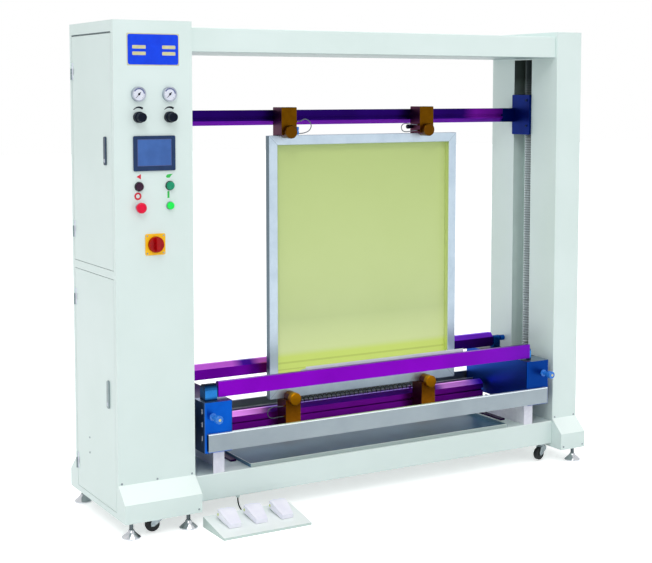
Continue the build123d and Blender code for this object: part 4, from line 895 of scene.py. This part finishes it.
# Back of the control cabinet: louvres, air and mains inlets
louvreLook = {"seat": (-962, 326, 1700), "rows": 9, "pitch": 16, "slit": (150, 3.4, 1.6),
              "hood": (154, 4.2, 1.8), "hoodLift": 4, "hoodDepth": 3}
rowDrops = [-louvreLook["pitch"] * row for row in range(louvreLook["rows"])]
addPiece(plateForm("louvreSlits", [roundedBox(*louvreLook["slit"], (0, drop)) for drop in rowDrops],
                   louvreLook["seat"], 0.3, (-1, 0, 0)), blackRubber, "frame", 0.05)
hoods = [roundedBox(*louvreLook["hood"], (0, louvreLook["hoodLift"] + drop)) for drop in rowDrops]
addPiece(plateForm("louvreHoods", hoods, louvreLook["seat"], louvreLook["hoodDepth"], (-1, 0, 0)),
         powderCoat, "frame", 1.0)
inletProfile = [(0, 0), (11, 0), (11, 3), (8.5, 3.6), (8.5, 12), (7.2, 12.8), (7.2, 20),
                (5.4, 21), (3, 21), (3, 14), (0, 14)]
for name, x, material, slotName in (("airInlet", -1010, satinStainless, "chrome"),
                                    ("mainsGland", -912, blackNylon, "gauge_black")):
    addPiece(turnedForm(name, inletProfile, [(x, 326, 300)], (0, 1, 0)), material, "frame",
             0.2)

# Pedals: a small clip on the left side of each treadle
clipLook = {"size": (9, 10, 3), "offset": -34.6, "y": -249, "z": 56, "thickness": 1.4}
for index, x in enumerate((-720, -607, -494), 1):
    addPiece(plateForm(f"pedalClip{index}", [roundedBox(*clipLook["size"])],
                       (x + clipLook["offset"], clipLook["y"], clipLook["z"]),
                       clipLook["thickness"], leftward),
             yellowGreenPvc, f"pedal_{index}", 0.2)
print("small pieces added")

# Floor and light
floorMesh = bpy.data.meshes.new("studioFloor")
far = 30  # half the floor's side, metres
floorMesh.from_pydata([(-far, -far, 0), (far, -far, 0), (far, far, 0), (-far, far, 0)], [],
                      [(0, 1, 2, 3)])
studioFloor = bpy.data.objects.new("studioFloor", floorMesh)
linkToScene(studioFloor)
floorPaint = bpy.data.materials.new("matteStudioFloor")
floorPaint.use_nodes = True
floorTree = floorPaint.node_tree
floorShader = floorTree.nodes["Principled BSDF"]
floorShader.inputs["Base Color"].default_value = linear("#F4F5F5")
floorShader.inputs["Roughness"].default_value = 0.95
floorShader.inputs["Emission Color"].default_value = (1, 1, 1, 1)


def seenRays(tree):
    # 1 for what the camera sees, also through glass and in reflections
    rays = addNode(tree, "ShaderNodeLightPath")
    cameraOrGloss = addNode(tree, "ShaderNodeMath", {"operation": "MAXIMUM"}, None,
                            {0: rays.outputs["Is Camera Ray"], 1: rays.outputs["Is Glossy Ray"]})
    return addNode(tree, "ShaderNodeMath", {"operation": "MAXIMUM"}, None,
                   {0: cameraOrGloss.outputs[0],
                    1: rays.outputs["Is Transmission Ray"]}).outputs[0]


# the floor glows only where it is seen, so it meets the white backdrop
floorLift = addNode(floorTree, "ShaderNodeMapRange", values={"To Max": 0.5},
                    links={"Value": seenRays(floorTree)})
floorTree.links.new(floorLift.outputs[0], floorShader.inputs["Emission Strength"])
floorMesh.materials.append(floorPaint)

world = bpy.data.worlds.new("studioWorld")
bpy.context.scene.world = world
world.use_nodes = True
worldTree = world.node_tree
sky = worldTree.nodes["Background"]
sky.inputs["Color"].default_value = (1, 1, 1, 1)
# white where it is seen, a little less as light
worldLevel = addNode(worldTree, "ShaderNodeMapRange", values={"To Min": 0.78},
                     links={"Value": seenRays(worldTree)})
worldTree.links.new(worldLevel.outputs[0], sky.inputs["Strength"])

studioLamps = {
    "keyLamp": {"place": (-4.5, -6.5, 8.0), "size": 3.0, "watts": 175},
    "fillLamp": {"place": (4.5, -7.0, 4.0), "size": 3.5, "watts": 25},
    "topLamp": {"place": (-0.4, -0.8, 6.2), "size": 3.5, "watts": 90},
    "backLamp": {"place": (0.5, 7.0, 5.0), "size": 3.0, "watts": 70},
}
lampAim = Vector((0, 0.05, 0.95))  # the middle of the coater
for name, look in studioLamps.items():
    data = bpy.data.lights.new(name, "AREA")
    data.energy = look["watts"]
    data.size = look["size"]
    lamp = bpy.data.objects.new(name, data)
    lamp.location = look["place"]
    beam = lampAim - Vector(look["place"])
    lamp.rotation_euler = beam.to_track_quat("-Z", "Y").to_euler()
    linkToScene(lamp)
bpy.context.scene.view_settings.view_transform = "Standard"
print("floor, lamps and camera set")

bpy.context.view_layer.update()
